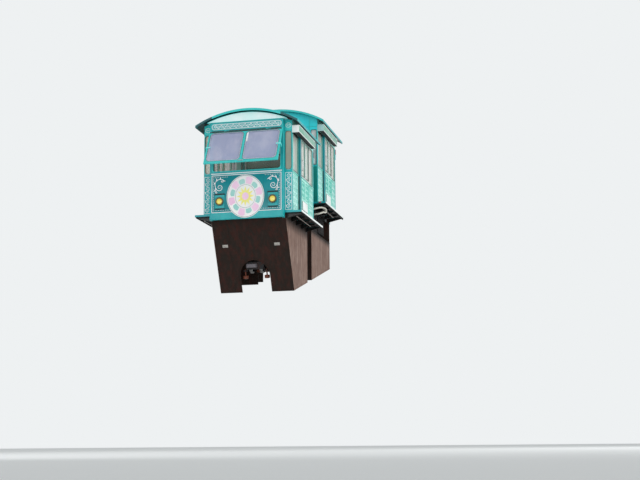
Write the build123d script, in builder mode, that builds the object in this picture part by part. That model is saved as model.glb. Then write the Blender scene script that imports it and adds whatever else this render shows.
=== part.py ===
"""Two-section slope car: a small funicular car that straddles one inclined beam.

Each section is built in its own level frame: x across, y from the downhill wing plane
towards the uphill end, z from the underside of the floor plate. Its truck is built in the
beam frame: x across, y along the slope, z square to the beam's running surface. Both are
then placed in the car's frame, whose origin lies on the running surface under the middle
of the downhill section, +Z up and the downhill end towards -Y. All sizes are millimetres.
"""
from build123d import *
from math import cos, pi, radians, sin, sqrt, tan
import os

os.makedirs("parts", exist_ok=True)

# Track, layout and fits
SLOPE = 15.25
PITCH = 2315
BEAM_DEPTH = 1064
BEAM_WIDTH = 350
SEAT = 0.3
FIT = 0.3
CLEAR = 6

# Cabin shell
CABIN_W = 1900
CABIN_L = 1880
WALL = 40
STEP_W = 196
FLOOR_LIP = 50
FLOOR_T = 40
SILL_Z = 900
WINDOW_TOP = 1716
MULLION = 50
WINDOW_EDGE = 30
DOOR_EDGE = 10
PANE = 6

# Outer end: flat wings, and the bay that stands out between them
BAY_W = 1574
BAY_OUT = 114
BAY_TOP = 1955
APRON_DROP = 107
SCREEN_EDGE = 52
SCREEN_LAP = 25
WING_WINDOW_W = 128
WING_CORNER = 30

# Arched roof
ROOF_OVER_SIDE = 157
ROOF_T = 36
ROOF_APEX = 2222
ROOF_EAVE = 1920
ROOF_OVER_OUT = 150
ROOF_OVER_IN = 90
DRIP = 14

# Windscreen sash, hung over the bay's face
SASH_LOW = 880
SASH_TOP = 1745
SASH_T = 30
SASH_GAP = 5
SASH_SIDE = 42
SASH_MID = 58
SASH_FOOT = 50
SASH_OPEN = 28
PANE_CORNER = 50
HINGE_RISE = 16
HINGE_X = 450
KNUCKLE_R = 9
KNUCKLE_L = 50
HINGE_PIN_R = 4
STAY_Z = 1310
STAY_L = 90
STAY_H = 60
STAY_T = 10

# Sliding door, its post and its header box
DOOR_START = 600
DOOR_W = 640
DOOR_LAP = 14
DOOR_T = 32
DOOR_GAP = 14
DOOR_TOP = 1800
POST_W = 70
PANEL_RECESS = 6
PANEL_EDGE = 100
BOX_OUT = 149
BOX_L = 1450
BOX_LOW = 1675
BOX_TOP = 1828
BOX_SHEET = 12
RAIL_R = 9
RAIL_DROP = 28
RAIL_BRACKET = 20
EYE_SET = 60
EYE_W = 50
GUIDE_STRIP = 10

# Skirts
SKIRT_W = 1590
SKIRT_SHEET = 12
NOSE_Y = 730
NOSE_Z = -1520
ARCH_W = 640
ARCH_CLEAR = 290
SIDE_BAY = 580

# Underframe and legs
SILL_X = 205
SILL_BAR = 60
SILL_DEEP = 100
SILL_END = 90
GUSSETS = 5
GUSSET_T = 10
GUSSET_TIP = 24
GUSSET_SET = 30
LEG_SET = 140
LEG_HEAD = 100
LEG_FOOT = 190

# Truck
TRUCK_INSET = 320
TRUCK_SHIFT = 240
TRUCK_LOW = 60
TRUCK_TOP = 260
FLANGE_W = 80
FLANGE_T = 15
SIDE_X = 185
SIDE_PLATE = 20
AXLE_SET = 190
WHEEL_R = 125
WHEEL_W = 60
WHEEL_X = 110
SHAFT_R = 25
HUB_R = 45
AXLE_BOX = 110
AXLE_BOX_T = 24
CROSS_BAR = 60
TRUCK_NOSE = 60
CUTOUT_Z = 130
CUTOUT_W = 150
CUTOUT_H = 80
CUTOUT_ANGLE = 65
HEADSTOCK_T = 40
HEADSTOCK_LOW = 100

# Guide rollers
GUIDE_R = 55
GUIDE_H = 60
GUIDE_LOW = -95
GUIDE_GAP = 2
GUIDE_PIN_R = 15
GUIDE_SET = 80
BRACKET_T = 20

# Rack pinion
MODULE = 12
TEETH = 16
PINION_W = 50
PINION_HUB_R = 42
PINION_Z = 118

# Drive block
DRIVE_W = 260
DRIVE_L = 340
DRIVE_H = 300

# Coupling
BAR_H = 150
BAR_W = 70
BAR_DEEP = 50
EYE_R = 60
EYE_T = 76
COUPLING_PIN_R = 20
FORK_T = 20
FORK_W = 98
FORK_REACH = 300
SHANK_W = 112
SHANK_SET = 240

# Buffer, display board, desk and equipment cabinets
BUFFER_X = -50
BUFFER_W = 210
BUFFER_H = 76
BUFFER_OUT = 96
BUFFER_Z = 188
BOARD_X = -17
BOARD_Z = 360
BOARD_W = 800
BOARD_H = 900
BOARD_T = 8
DESK_W = 520
DESK_D = 330
DESK_Z = 870
DESK_START = 80
CABINET_X = 570
CABINET_W = 300
CABINET_START = 330
CABINET_SPLIT = 890
CABINET_GAP = 70
CABINET_SET = 280
CABINET_DEPTHS = (420, 360, 400)

# Fittings
BENCH_D = 400
SEAT_Z = 450
BACK_Z = 850
POLE_R = 17
POLE_SET = 50
LAMP_X = 567
LAMP_Z = 272
HOUSING_W = 200
HOUSING_H = 300
HOUSING_T = 14
LENS_OUT = 12
LAMP_L = 40
LAMP_R = 80
LENS_R = 60

slope = radians(SLOPE)
RISE = PITCH * tan(slope)
HALF_W = CABIN_W / 2
MIDDLE = CABIN_L / 2
ROOF_W = CABIN_W + 2 * ROOF_OVER_SIDE
FLOOR_W = CABIN_W + 2 * STEP_W
FLOOR_L = CABIN_L + FLOOR_LIP
WINDOW_H = WINDOW_TOP - SILL_Z
WINDOW_MID = (SILL_Z + WINDOW_TOP) / 2
roof_sag = ROOF_APEX - ROOF_EAVE
ROOF_R = ((ROOF_W / 2) ** 2 + roof_sag**2) / (2 * roof_sag)
ROOF_AXIS = ROOF_APEX - ROOF_R
SCREEN_W = BAY_W - 2 * SCREEN_EDGE
SCREEN_LOW = SASH_LOW + SCREEN_LAP
SCREEN_TOP = SASH_TOP - SCREEN_LAP
HINGE_Z = SASH_TOP + HINGE_RISE
TRUCK_Y = MIDDLE + TRUCK_SHIFT * cos(slope)
TRUCK_L = CABIN_L - 2 * TRUCK_INSET
AXLE_SPACING = TRUCK_L - 2 * AXLE_SET
GUIDE_Y = TRUCK_L / 2 - GUIDE_SET
LEG_Y = TRUCK_L / 2 - LEG_SET
PINION_TIP = MODULE * (TEETH / 2 + 1)
CROSS_Y = (AXLE_SPACING / 2 - WHEEL_R + PINION_TIP) / 2

# Places: sections in the car, the outer end turned uphill, and the truck in its section
FRONT = Location((0, -MIDDLE, BEAM_DEPTH))
REAR = Location((0, PITCH - MIDDLE, BEAM_DEPTH + RISE))
HERE = Location()
TURNED = Location((0, CABIN_L, 0), (0, 0, 180))
TRUCK = Location((0, TRUCK_Y, -BEAM_DEPTH + TRUCK_SHIFT * sin(slope)), (SLOPE, 0, 0))
ALONG_X = (0, 90, 0)
ALONG_Y = (90, 0, 0)


def save(piece, name, place):
    """Write a finished piece as its own node, at its place in the car."""
    piece.part.label = name
    placed = piece.part.moved(place)
    placed.label = name
    export_step(placed, f"parts/{name}.step")


def roof_under(x):
    """Height just below the roof's underside at a distance x from the middle."""
    return ROOF_AXIS + sqrt((ROOF_R - ROOF_T) ** 2 - x**2) - SEAT


def beam_top(y):
    """Height of the beam's running surface at y in the section frame."""
    return -BEAM_DEPTH + (y - MIDDLE) * tan(slope)


def skirt_low(y):
    """Height of the skirt's lower edge at y, parallel to the beam."""
    return NOSE_Z + (y - NOSE_Y) * tan(slope)


# What lies above the roof's underside, in the plane of an end wall
with BuildSketch() as above_roof:
    arc_x = HALF_W + WALL
    arc_z = roof_under(arc_x)
    with BuildLine():
        ThreePointArc((-arc_x, arc_z), (0, roof_under(0)), (arc_x, arc_z))
        Polyline((arc_x, arc_z), (arc_x, 2 * ROOF_APEX), (-arc_x, 2 * ROOF_APEX), (-arc_x, arc_z))
    make_face()

# End windows: x of the middle, width, corner radius
WING_X = (BAY_W / 2 + HALF_W) / 2
WING_WINDOWS = [(WING_X, WING_WINDOW_W, WING_CORNER), (-WING_X, WING_WINDOW_W, WING_CORNER)]
INNER_WINDOW_W = BAY_W - 4 * WALL

# Side windows: y of the middle, width
POST_Y = DOOR_START - DOOR_LAP - CLEAR - POST_W / 2
first_start, first_end = WALL + WINDOW_EDGE, POST_Y - POST_W / 2 - WALL
last_start, last_end = DOOR_START + DOOR_W + 2 * WINDOW_EDGE, CABIN_L - 2 * WALL
DOOR_PANE = (DOOR_W - MULLION) / 2 - DOOR_EDGE
FIRST_WINDOW = ((first_start + first_end) / 2, first_end - first_start)
LAST_WINDOW = ((last_start + last_end) / 2, last_end - last_start)
DOOR_WINDOWS = [
    (DOOR_START + DOOR_EDGE + DOOR_PANE / 2, DOOR_PANE),
    (DOOR_START + DOOR_W - DOOR_EDGE - DOOR_PANE / 2, DOOR_PANE),
]
RIGHT_WINDOWS = [FIRST_WINDOW, LAST_WINDOW]
LEFT_WINDOWS = [FIRST_WINDOW, *DOOR_WINDOWS, LAST_WINDOW]

# Windscreen hinge axis, and the knuckles along it
HINGE_Y = -BAY_OUT - SASH_GAP - SASH_T / 2
HINGE_PLACES = [-HINGE_X, HINGE_X]


def outer_wall(name, place):
    """Outer end wall: wings and lunette in one plane, and the bay with its top plate."""
    inner = BAY_W / 2 - WALL
    with BuildPart() as wall:
        with BuildSketch(Plane.XY.offset(-APRON_DROP)):
            with Locations((0, -BAY_OUT / 2)):
                Rectangle(BAY_W, BAY_OUT)
            with Locations((0, -(BAY_OUT - WALL) / 2)):
                Rectangle(2 * inner, BAY_OUT - WALL, mode=Mode.SUBTRACT)
        extrude(amount=BAY_TOP + APRON_DROP)
        with BuildSketch(Plane.XY.offset(BAY_TOP - WALL)):
            with Locations((0, -BAY_OUT / 2)):
                Rectangle(BAY_W, BAY_OUT)
        extrude(amount=WALL)
        with BuildSketch(Plane.XZ):
            with Locations((0, (FLOOR_T + ROOF_APEX) / 2)):
                Rectangle(CABIN_W, ROOF_APEX - FLOOR_T)
            add(above_roof.sketch, mode=Mode.SUBTRACT)
            with Locations((0, (FLOOR_T + BAY_TOP - WALL) / 2)):
                Rectangle(2 * inner, BAY_TOP - WALL - FLOOR_T, mode=Mode.SUBTRACT)
        extrude(amount=-WALL)
        with BuildSketch(Plane.XZ):
            with Locations((0, (SCREEN_LOW + SCREEN_TOP) / 2)):
                Rectangle(SCREEN_W, SCREEN_TOP - SCREEN_LOW)
            for x, wide, corner in WING_WINDOWS:
                with Locations((x, WINDOW_MID)):
                    RectangleRounded(wide, WINDOW_H, corner)
        extrude(amount=BAY_OUT + WALL, both=True, mode=Mode.SUBTRACT)
        for x in HINGE_PLACES:
            lug_x = x + KNUCKLE_L + 1
            with Locations((lug_x, (HINGE_Y - BAY_OUT) / 2, HINGE_Z)):
                Box(KNUCKLE_L, -BAY_OUT - HINGE_Y, 2 * KNUCKLE_R)
            with Locations(Location((lug_x, HINGE_Y, HINGE_Z), ALONG_X)):
                Cylinder(KNUCKLE_R, KNUCKLE_L)
            with Locations(Location((x + KNUCKLE_L / 2, HINGE_Y, HINGE_Z), ALONG_X)):
                Cylinder(HINGE_PIN_R, 2 * KNUCKLE_L)
    save(wall, name, place)


def inner_wall(name, place):
    """Flat end wall that faces the other section."""
    with BuildPart() as wall:
        with BuildSketch(Plane.XZ.offset(WALL - CABIN_L)):
            with Locations((0, (FLOOR_T + ROOF_APEX) / 2)):
                Rectangle(CABIN_W, ROOF_APEX - FLOOR_T)
            add(above_roof.sketch, mode=Mode.SUBTRACT)
            with Locations((0, WINDOW_MID)):
                Rectangle(INNER_WINDOW_W, WINDOW_H, mode=Mode.SUBTRACT)
            with Locations((WING_X, WINDOW_MID), (-WING_X, WINDOW_MID)):
                Rectangle(WING_WINDOW_W, WINDOW_H, mode=Mode.SUBTRACT)
        extrude(amount=-WALL)
    save(wall, name, place)


def side_wall(name, place, side, windows, has_door):
    """Side wall between the end walls, its top cut to the slope of the roof."""
    inner = HALF_W - WALL
    with BuildPart() as wall:
        with BuildSketch(Plane.XZ.offset(-WALL)):
            with BuildLine():
                Polyline(
                    (side * inner, FLOOR_T),
                    (side * HALF_W, FLOOR_T),
                    (side * HALF_W, roof_under(HALF_W)),
                    (side * inner, roof_under(inner)),
                    close=True,
                )
            make_face()
        extrude(amount=2 * WALL - CABIN_L)
        with BuildSketch(Plane.YZ):
            for y, wide in windows:
                with Locations((y, WINDOW_MID)):
                    Rectangle(wide, WINDOW_H)
            if has_door:
                with Locations((DOOR_START + DOOR_W / 2, (FLOOR_T + DOOR_TOP) / 2)):
                    Rectangle(DOOR_W, DOOR_TOP - FLOOR_T)
        extrude(amount=side * CABIN_W, mode=Mode.SUBTRACT)
        if has_door:
            post_top = RAIL_Z - RAIL_R - 2 * CLEAR
            with Locations((HALF_W + (DOOR_GAP + DOOR_T) / 2, POST_Y, (FLOOR_T + post_top) / 2)):
                Box(DOOR_GAP + DOOR_T, POST_W, post_top - FLOOR_T)
    save(wall, name, place)


DOOR_MID = HALF_W + DOOR_GAP + DOOR_T / 2
RAIL_Z = BOX_TOP - BOX_SHEET - RAIL_DROP
DOOR_LOW = FLOOR_T + CLEAR
LEAF_TOP = RAIL_Z - RAIL_R - 2 * CLEAR
EYES = (DOOR_START + EYE_SET, DOOR_START + DOOR_W - EYE_SET)


def door(name, glass_name, place):
    """Sliding door leaf with two recessed panels, hung from two eyes, and its panes."""
    pane_h = BOX_LOW - WINDOW_EDGE - SILL_Z
    panel_h = SILL_Z - DOOR_LOW - 2 * PANEL_EDGE
    with BuildPart() as leaf:
        with BuildSketch(Plane.YZ.offset(HALF_W + DOOR_GAP)):
            with Locations((DOOR_START + DOOR_W / 2, (DOOR_LOW + LEAF_TOP) / 2)):
                Rectangle(DOOR_W + 2 * DOOR_LAP, LEAF_TOP - DOOR_LOW)
            for y, wide in DOOR_WINDOWS:
                with Locations((y, SILL_Z + pane_h / 2)):
                    Rectangle(wide, pane_h, mode=Mode.SUBTRACT)
        extrude(amount=DOOR_T)
        with BuildSketch(Plane.YZ.offset(HALF_W + DOOR_GAP + DOOR_T)):
            for y, wide in DOOR_WINDOWS:
                with Locations((y, DOOR_LOW + PANEL_EDGE + panel_h / 2)):
                    Rectangle(wide - 2 * DOOR_EDGE, panel_h)
        extrude(amount=-PANEL_RECESS, mode=Mode.SUBTRACT)
        groove_h = FLOOR_T + GUIDE_STRIP + CLEAR - DOOR_LOW
        with Locations((DOOR_MID, DOOR_START + DOOR_W / 2, DOOR_LOW + groove_h / 2)):
            Box(GUIDE_STRIP + 2 * CLEAR, 2 * DOOR_W, groove_h, mode=Mode.SUBTRACT)
        eye_top = BOX_TOP - BOX_SHEET - CLEAR
        for y in EYES:
            with Locations((DOOR_MID, y, (LEAF_TOP + eye_top) / 2)):
                Box(DOOR_T, EYE_W, eye_top - LEAF_TOP)
            with Locations(Location((DOOR_MID, y, RAIL_Z), ALONG_Y)):
                Cylinder(RAIL_R + FIT, 2 * EYE_W, mode=Mode.SUBTRACT)
    with BuildPart() as glass:
        with BuildSketch(Plane.YZ.offset(DOOR_MID - PANE / 2)):
            for y, wide in DOOR_WINDOWS:
                with Locations((y, SILL_Z + pane_h / 2)):
                    Rectangle(wide - 2 * SEAT, pane_h - 2 * SEAT)
        extrude(amount=PANE)
    save(leaf, name, place)
    save(glass, glass_name, place)


def door_box(name, place):
    """Header box over the side wall, open where the leaf runs out, with the rail bar.

    The bar starts in the box's closed end and runs on to a bracket past the open leaf.
    """
    outer = HALF_W + BOX_OUT
    with BuildPart() as box:
        with BuildSketch(Plane.XZ):
            with BuildLine():
                Polyline(
                    (HALF_W, BOX_TOP),
                    (outer, BOX_TOP),
                    (outer, BOX_LOW),
                    (outer - BOX_SHEET, BOX_LOW),
                    (outer - BOX_SHEET, BOX_TOP - BOX_SHEET),
                    (HALF_W, BOX_TOP - BOX_SHEET),
                    close=True,
                )
            make_face()
        extrude(amount=-BOX_L)
        with Locations((HALF_W + BOX_OUT / 2, BOX_SHEET / 2, (BOX_LOW + BOX_TOP) / 2)):
            Box(BOX_OUT, BOX_SHEET, BOX_TOP - BOX_LOW)
        bracket_out = DOOR_MID + 2 * RAIL_R - HALF_W
        with Locations((HALF_W + bracket_out / 2, CABIN_L - RAIL_BRACKET / 2, RAIL_Z)):
            Box(bracket_out, RAIL_BRACKET, 4 * RAIL_R)
        with Locations(Location((DOOR_MID, MIDDLE, RAIL_Z), ALONG_Y)):
            Cylinder(RAIL_R, CABIN_L)
    save(box, name, place)


def floor(name, place, turn):
    """Floor plate with its steps and bay tongue, the door's guide strip, sills and gussets."""
    tongue = BAY_W / 2 - WALL
    outer_sill = SKIRT_W / 2 - SKIRT_SHEET - SILL_BAR
    with BuildPart() as plate:
        with BuildSketch():
            with Locations(turn):
                with Locations((0, FLOOR_L / 2)):
                    Rectangle(FLOOR_W, FLOOR_L)
                with Locations((0, -(BAY_OUT - WALL) / 2)):
                    Rectangle(2 * tongue, BAY_OUT - WALL)
        extrude(amount=FLOOR_T)
        strip_start = DOOR_START - DOOR_LAP
        with Locations((DOOR_MID, (strip_start + CABIN_L) / 2, FLOOR_T + GUIDE_STRIP / 2)):
            Box(GUIDE_STRIP, CABIN_L - strip_start, GUIDE_STRIP)
        with BuildSketch():
            for x in (-outer_sill, -SILL_X, SILL_X, outer_sill):
                with Locations((x, MIDDLE)):
                    Rectangle(SILL_BAR, CABIN_L - 2 * SILL_END)
            for y in (SILL_END + SILL_BAR / 2, MIDDLE, CABIN_L - SILL_END - SILL_BAR / 2):
                with Locations((0, y)):
                    Rectangle(2 * outer_sill, SILL_BAR)
        extrude(amount=-SILL_DEEP)
        # Gussets that taper out from the skirt's top under both steps
        root, tip = SKIRT_W / 2 + SEAT, FLOOR_W / 2 - GUSSET_SET
        for number in range(GUSSETS):
            y = SILL_END + number * (CABIN_L - 2 * SILL_END) / (GUSSETS - 1)
            with BuildSketch(Plane.XZ.offset(-y - GUSSET_T / 2)):
                for side in (-1, 1):
                    with BuildLine():
                        Polyline(
                            (side * root, 0),
                            (side * tip, 0),
                            (side * tip, -GUSSET_TIP),
                            (side * root, -SILL_DEEP),
                            close=True,
                        )
                    make_face()
            extrude(amount=GUSSET_T)
    save(plate, name, place)


def roof(name, place):
    """Arched roof shell with its overhangs and a drip strip under each eave."""
    side = ROOF_W / 2
    shrink = (ROOF_R - ROOF_T) / ROOF_R
    low = ROOF_AXIS + (ROOF_EAVE - ROOF_AXIS) * shrink
    with BuildPart() as shell:
        with BuildSketch(Plane.XZ.offset(ROOF_OVER_OUT)):
            with BuildLine():
                ThreePointArc((-side, ROOF_EAVE), (0, ROOF_APEX), (side, ROOF_EAVE))
                Line((side, ROOF_EAVE), (side, low - DRIP))
                Line((side, low - DRIP), (side * shrink, low - DRIP))
                Line((side * shrink, low - DRIP), (side * shrink, low))
                ThreePointArc((side * shrink, low), (0, ROOF_APEX - ROOF_T), (-side * shrink, low))
                Line((-side * shrink, low), (-side * shrink, low - DRIP))
                Line((-side * shrink, low - DRIP), (-side, low - DRIP))
                Line((-side, low - DRIP), (-side, ROOF_EAVE))
            make_face()
        extrude(amount=-(CABIN_L + ROOF_OVER_OUT + ROOF_OVER_IN))
    save(shell, name, place)


def sash(name, glass_name, place, angle):
    """Top-hung windscreen sash with a middle bar and two stay lugs, and its panes."""
    face = BAY_OUT + SASH_GAP + SASH_T
    pane_w = (BAY_W - 2 * SASH_SIDE - SASH_MID) / 2
    pane_h = SASH_TOP - SASH_LOW - SASH_SIDE - SASH_FOOT
    panes = [(side * (pane_w + SASH_MID) / 2, SASH_LOW + SASH_FOOT + pane_h / 2) for side in (-1, 1)]
    with BuildPart() as frame:
        with BuildSketch(Plane.XZ.offset(face)):
            with Locations((0, (SASH_LOW + SASH_TOP) / 2)):
                Rectangle(BAY_W, SASH_TOP - SASH_LOW)
            with Locations(*panes):
                RectangleRounded(pane_w, pane_h, PANE_CORNER, mode=Mode.SUBTRACT)
        extrude(amount=-SASH_T)
        for x in HINGE_PLACES:
            with Locations((x, HINGE_Y, (SASH_TOP + HINGE_Z) / 2)):
                Box(KNUCKLE_L, KNUCKLE_R, HINGE_Z - SASH_TOP)
            with Locations(Location((x, HINGE_Y, HINGE_Z), ALONG_X)):
                Cylinder(KNUCKLE_R, KNUCKLE_L)
                Cylinder(HINGE_PIN_R + FIT, KNUCKLE_L, mode=Mode.SUBTRACT)
        for side in (-1, 1):
            with Locations((side * (BAY_W / 2 + CLEAR + STAY_T / 2), -face + STAY_L / 2, STAY_Z)):
                Box(STAY_T, STAY_L, STAY_H)
            with Locations((side * (BAY_W / 2 + CLEAR / 2), -face + SASH_T / 2, STAY_Z)):
                Box(CLEAR, SASH_T, STAY_H)
    with BuildPart() as glass:
        with BuildSketch(Plane.XZ.offset(face - (SASH_T - PANE) / 2)):
            with Locations(*panes):
                RectangleRounded(pane_w - 2 * SEAT, pane_h - 2 * SEAT, PANE_CORNER)
        extrude(amount=-PANE)
    hinge = Location((0, HINGE_Y, HINGE_Z))
    swing = hinge * Location((0, 0, 0), (-angle, 0, 0)) * hinge.inverse()
    save(frame, name, place * swing)
    save(glass, glass_name, place * swing)


def glazing(name, place, turn):
    """Fixed panes of one section, each held in the middle of its wall."""
    tall = WINDOW_H - 2 * SEAT
    with BuildPart() as ends:
        with BuildSketch(Plane.XZ.offset(-(WALL - PANE) / 2)):
            for x, wide, corner in WING_WINDOWS:
                with Locations((x, WINDOW_MID)):
                    RectangleRounded(wide - 2 * SEAT, tall, corner)
        extrude(amount=-PANE)
        with BuildSketch(Plane.XZ.offset(-CABIN_L + (WALL + PANE) / 2)):
            with Locations((0, WINDOW_MID)):
                Rectangle(INNER_WINDOW_W - 2 * SEAT, tall)
            with Locations((WING_X, WINDOW_MID), (-WING_X, WINDOW_MID)):
                Rectangle(WING_WINDOW_W - 2 * SEAT, tall)
        extrude(amount=-PANE)
    turned_ends = ends.part.moved(turn)
    with BuildPart() as panes:
        add(turned_ends)
        for side, row in ((1, RIGHT_WINDOWS), (-1, LEFT_WINDOWS)):
            with BuildSketch(Plane.YZ.offset(side * (HALF_W - WALL / 2) - PANE / 2)):
                for y, wide in row:
                    with Locations((y, WINDOW_MID)):
                        Rectangle(wide - 2 * SEAT, tall)
            extrude(amount=PANE)
    save(panes, name, place)


INSIDE = HALF_W - WALL
BENCH_START = DOOR_START - 100
BENCH_EDGE = BENCH_D - INSIDE
far_pole = CABIN_L - WALL - BENCH_D - POLE_SET
POLES = [
    (INSIDE - POLE_SET, POST_Y),
    (INSIDE - POLE_SET, far_pole),
    (BENCH_EDGE + POLE_SET, POST_Y),
    (BENCH_EDGE + POLE_SET, far_pole),
]


def fittings(name, place):
    """A bench along the closed side, one along the uphill end, and four grab poles."""
    profile = [
        (0, FLOOR_T),
        (BENCH_D - 60, FLOOR_T),
        (BENCH_D - 30, SEAT_Z - 60),
        (BENCH_D, SEAT_Z - 40),
        (BENCH_D, SEAT_Z),
        (90, SEAT_Z),
        (45, BACK_Z),
        (0, BACK_Z),
    ]
    with BuildPart() as bench:
        with BuildSketch(Plane.XZ.offset(-BENCH_START)):
            with BuildLine():
                Polyline(*[(x - INSIDE, z) for x, z in profile], close=True)
            make_face()
        extrude(amount=BENCH_START + WALL - CABIN_L)
        with BuildSketch(Plane.YZ.offset(BENCH_EDGE + POLE_R)):
            with BuildLine():
                Polyline(*[(CABIN_L - WALL - y, z) for y, z in profile], close=True)
            make_face()
        extrude(amount=INSIDE - BENCH_EDGE - POLE_R)
        for x, y in POLES:
            with BuildSketch(Plane.XY.offset(FLOOR_T)):
                with Locations((x, y)):
                    Circle(POLE_R)
            extrude(amount=roof_under(abs(x) + POLE_R) - FLOOR_T)
    save(bench, name, place)


def headlamps(name, place):
    """Pair of round headlamps on housings with rounded corners."""
    with BuildPart() as lamps:
        for radius, reach in ((0, HOUSING_T), (LAMP_R, LAMP_L), (LENS_R, LAMP_L + LENS_OUT)):
            with BuildSketch(Plane.XZ.offset(BAY_OUT)):
                with Locations((-LAMP_X, LAMP_Z), (LAMP_X, LAMP_Z)):
                    if radius:
                        Circle(radius)
                    else:
                        RectangleRounded(HOUSING_W, HOUSING_H, HOUSING_T)
            extrude(amount=reach)
    save(lamps, name, place)


def skirt_end(name, place, plates):
    """Skirt plates across a section: y of each one's top and foot, with its beam arch."""
    half = ARCH_W / 2
    with BuildPart() as ends:
        for top_y, foot_y in plates:
            foot_z = skirt_low(foot_y)
            with BuildSketch(Plane.YZ.offset(-SKIRT_W / 2)):
                with BuildLine():
                    Polyline(
                        (top_y, 0),
                        (top_y + SKIRT_SHEET, 0),
                        (foot_y + SKIRT_SHEET, foot_z),
                        (foot_y, foot_z),
                        close=True,
                    )
                make_face()
            extrude(amount=SKIRT_W)
            # The arch's crown clears the running surface where the plate crosses it
            lean = (foot_y - top_y) / -foot_z
            arch_y = (top_y - lean * beam_top(0)) / (1 + lean * tan(slope))
            crown = beam_top(arch_y) + ARCH_CLEAR
            reach = crown - half - foot_z
            with BuildSketch(Plane.XZ.offset(WALL - top_y)):
                with Locations((0, crown - half)):
                    Circle(half)
                with Locations((0, crown - half - reach / 2)):
                    Rectangle(ARCH_W, reach)
            extrude(amount=-(foot_y - top_y) - 2 * WALL, mode=Mode.SUBTRACT)
    save(ends, name, place)


def skirt_sides(name, place, outline):
    """The two side plates of a skirt, between its end plates."""
    with BuildPart() as plates:
        for x in (-SKIRT_W / 2, SKIRT_W / 2 - SKIRT_SHEET):
            with BuildSketch(Plane.YZ.offset(x)):
                with BuildLine():
                    Polyline(*outline, close=True)
                make_face()
            extrude(amount=SKIRT_SHEET)
    save(plates, name, place)


GUIDE_X = BEAM_WIDTH / 2 + GUIDE_GAP + GUIDE_R
BOX_FACE = SIDE_X + SIDE_PLATE / 2 + AXLE_BOX_T
FLANGE_Z = TRUCK_TOP + FLANGE_T


def truck_frame(name, place):
    """Sloping truck frame: side plates with axle boxes, cross members, guide brackets."""
    half = TRUCK_L / 2
    inside = 2 * SIDE_X - SIDE_PLATE
    mid_z = (TRUCK_LOW + TRUCK_TOP) / 2
    bearings = [(-AXLE_SPACING / 2, WHEEL_R), (0, PINION_Z), (AXLE_SPACING / 2, WHEEL_R)]
    with BuildPart() as frame:
        with BuildSketch(Plane.YZ.offset(SIDE_X - SIDE_PLATE / 2)):
            with BuildLine():
                Polyline(
                    (-half, TRUCK_TOP),
                    (-half, mid_z),
                    (-half + TRUCK_NOSE, TRUCK_LOW),
                    (half - TRUCK_NOSE, TRUCK_LOW),
                    (half, mid_z),
                    (half, TRUCK_TOP),
                    close=True,
                )
            make_face()
            with Locations((-CROSS_Y, CUTOUT_Z), (CROSS_Y, CUTOUT_Z)):
                Trapezoid(CUTOUT_W, CUTOUT_H, CUTOUT_ANGLE, mode=Mode.SUBTRACT)
        extrude(amount=SIDE_PLATE)
        for y, z in bearings:
            with Locations((SIDE_X + (SIDE_PLATE + AXLE_BOX_T) / 2, y, z)):
                Box(AXLE_BOX_T, AXLE_BOX, AXLE_BOX)
        with Locations((SILL_X, 0, TRUCK_TOP + FLANGE_T / 2)):
            Box(FLANGE_W, TRUCK_L, FLANGE_T)
        for y in (-GUIDE_Y, GUIDE_Y):
            arm = GUIDE_X + 2 * GUIDE_PIN_R - SIDE_X
            with Locations((SIDE_X + arm / 2, y, TRUCK_LOW + BRACKET_T / 2)):
                Box(arm, 6 * GUIDE_PIN_R, BRACKET_T)
            with Locations((GUIDE_X, y, TRUCK_LOW + BRACKET_T / 2)):
                Cylinder(GUIDE_PIN_R + FIT, BRACKET_T, mode=Mode.SUBTRACT)
        for y, z in bearings:
            with Locations(Location((SIDE_X, y, z), ALONG_X)):
                Cylinder(SHAFT_R + FIT, 4 * AXLE_BOX_T, mode=Mode.SUBTRACT)
        mirror(about=Plane.YZ)
        for y in (-CROSS_Y, CROSS_Y):
            with Locations((0, y, TRUCK_TOP - CROSS_BAR / 2)):
                Box(inside, CROSS_BAR, CROSS_BAR)
        for y in (-half + HEADSTOCK_T / 2, half - HEADSTOCK_T / 2):
            with Locations((0, y, (HEADSTOCK_LOW + TRUCK_TOP) / 2)):
                Box(inside, HEADSTOCK_T, TRUCK_TOP - HEADSTOCK_LOW)
    save(frame, name, place)


def axle(name, place):
    """Load axle, built round its own line: a shaft and two wheels with their hubs."""
    shaft_end = BOX_FACE + CLEAR
    rim = WHEEL_X + WHEEL_W / 2
    hub = SIDE_X - SIDE_PLATE / 2 - CLEAR
    half = [
        (rim - WHEEL_W, SHAFT_R),
        (rim - WHEEL_W, WHEEL_R),
        (rim, WHEEL_R),
        (rim, HUB_R),
        (hub, HUB_R),
        (hub, SHAFT_R),
        (shaft_end, SHAFT_R),
        (shaft_end, 0),
    ]
    with BuildPart() as wheelset:
        with BuildSketch():
            with BuildLine():
                Polyline(*[(-x, r) for x, r in reversed(half)], *half, close=True)
            make_face()
        revolve(axis=Axis.X)
    save(wheelset, name, place)


def guide_roller(name, place):
    """Guide roller that runs on the beam's side, on a stub with a nut over its bracket."""
    bracket_top = TRUCK_LOW + BRACKET_T
    with BuildPart() as roller:
        with BuildSketch(Plane.XY.offset(GUIDE_LOW)):
            Circle(GUIDE_R)
        extrude(amount=GUIDE_H)
        with BuildSketch(Plane.XY.offset(GUIDE_LOW + GUIDE_H)):
            Circle(GUIDE_PIN_R)
        extrude(amount=bracket_top + 1 - GUIDE_LOW - GUIDE_H)
        with BuildSketch(Plane.XY.offset(bracket_top + 1)):
            RegularPolygon(1.6 * GUIDE_PIN_R, 6)
        extrude(amount=GUIDE_PIN_R)
    save(roller, name, place)


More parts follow.
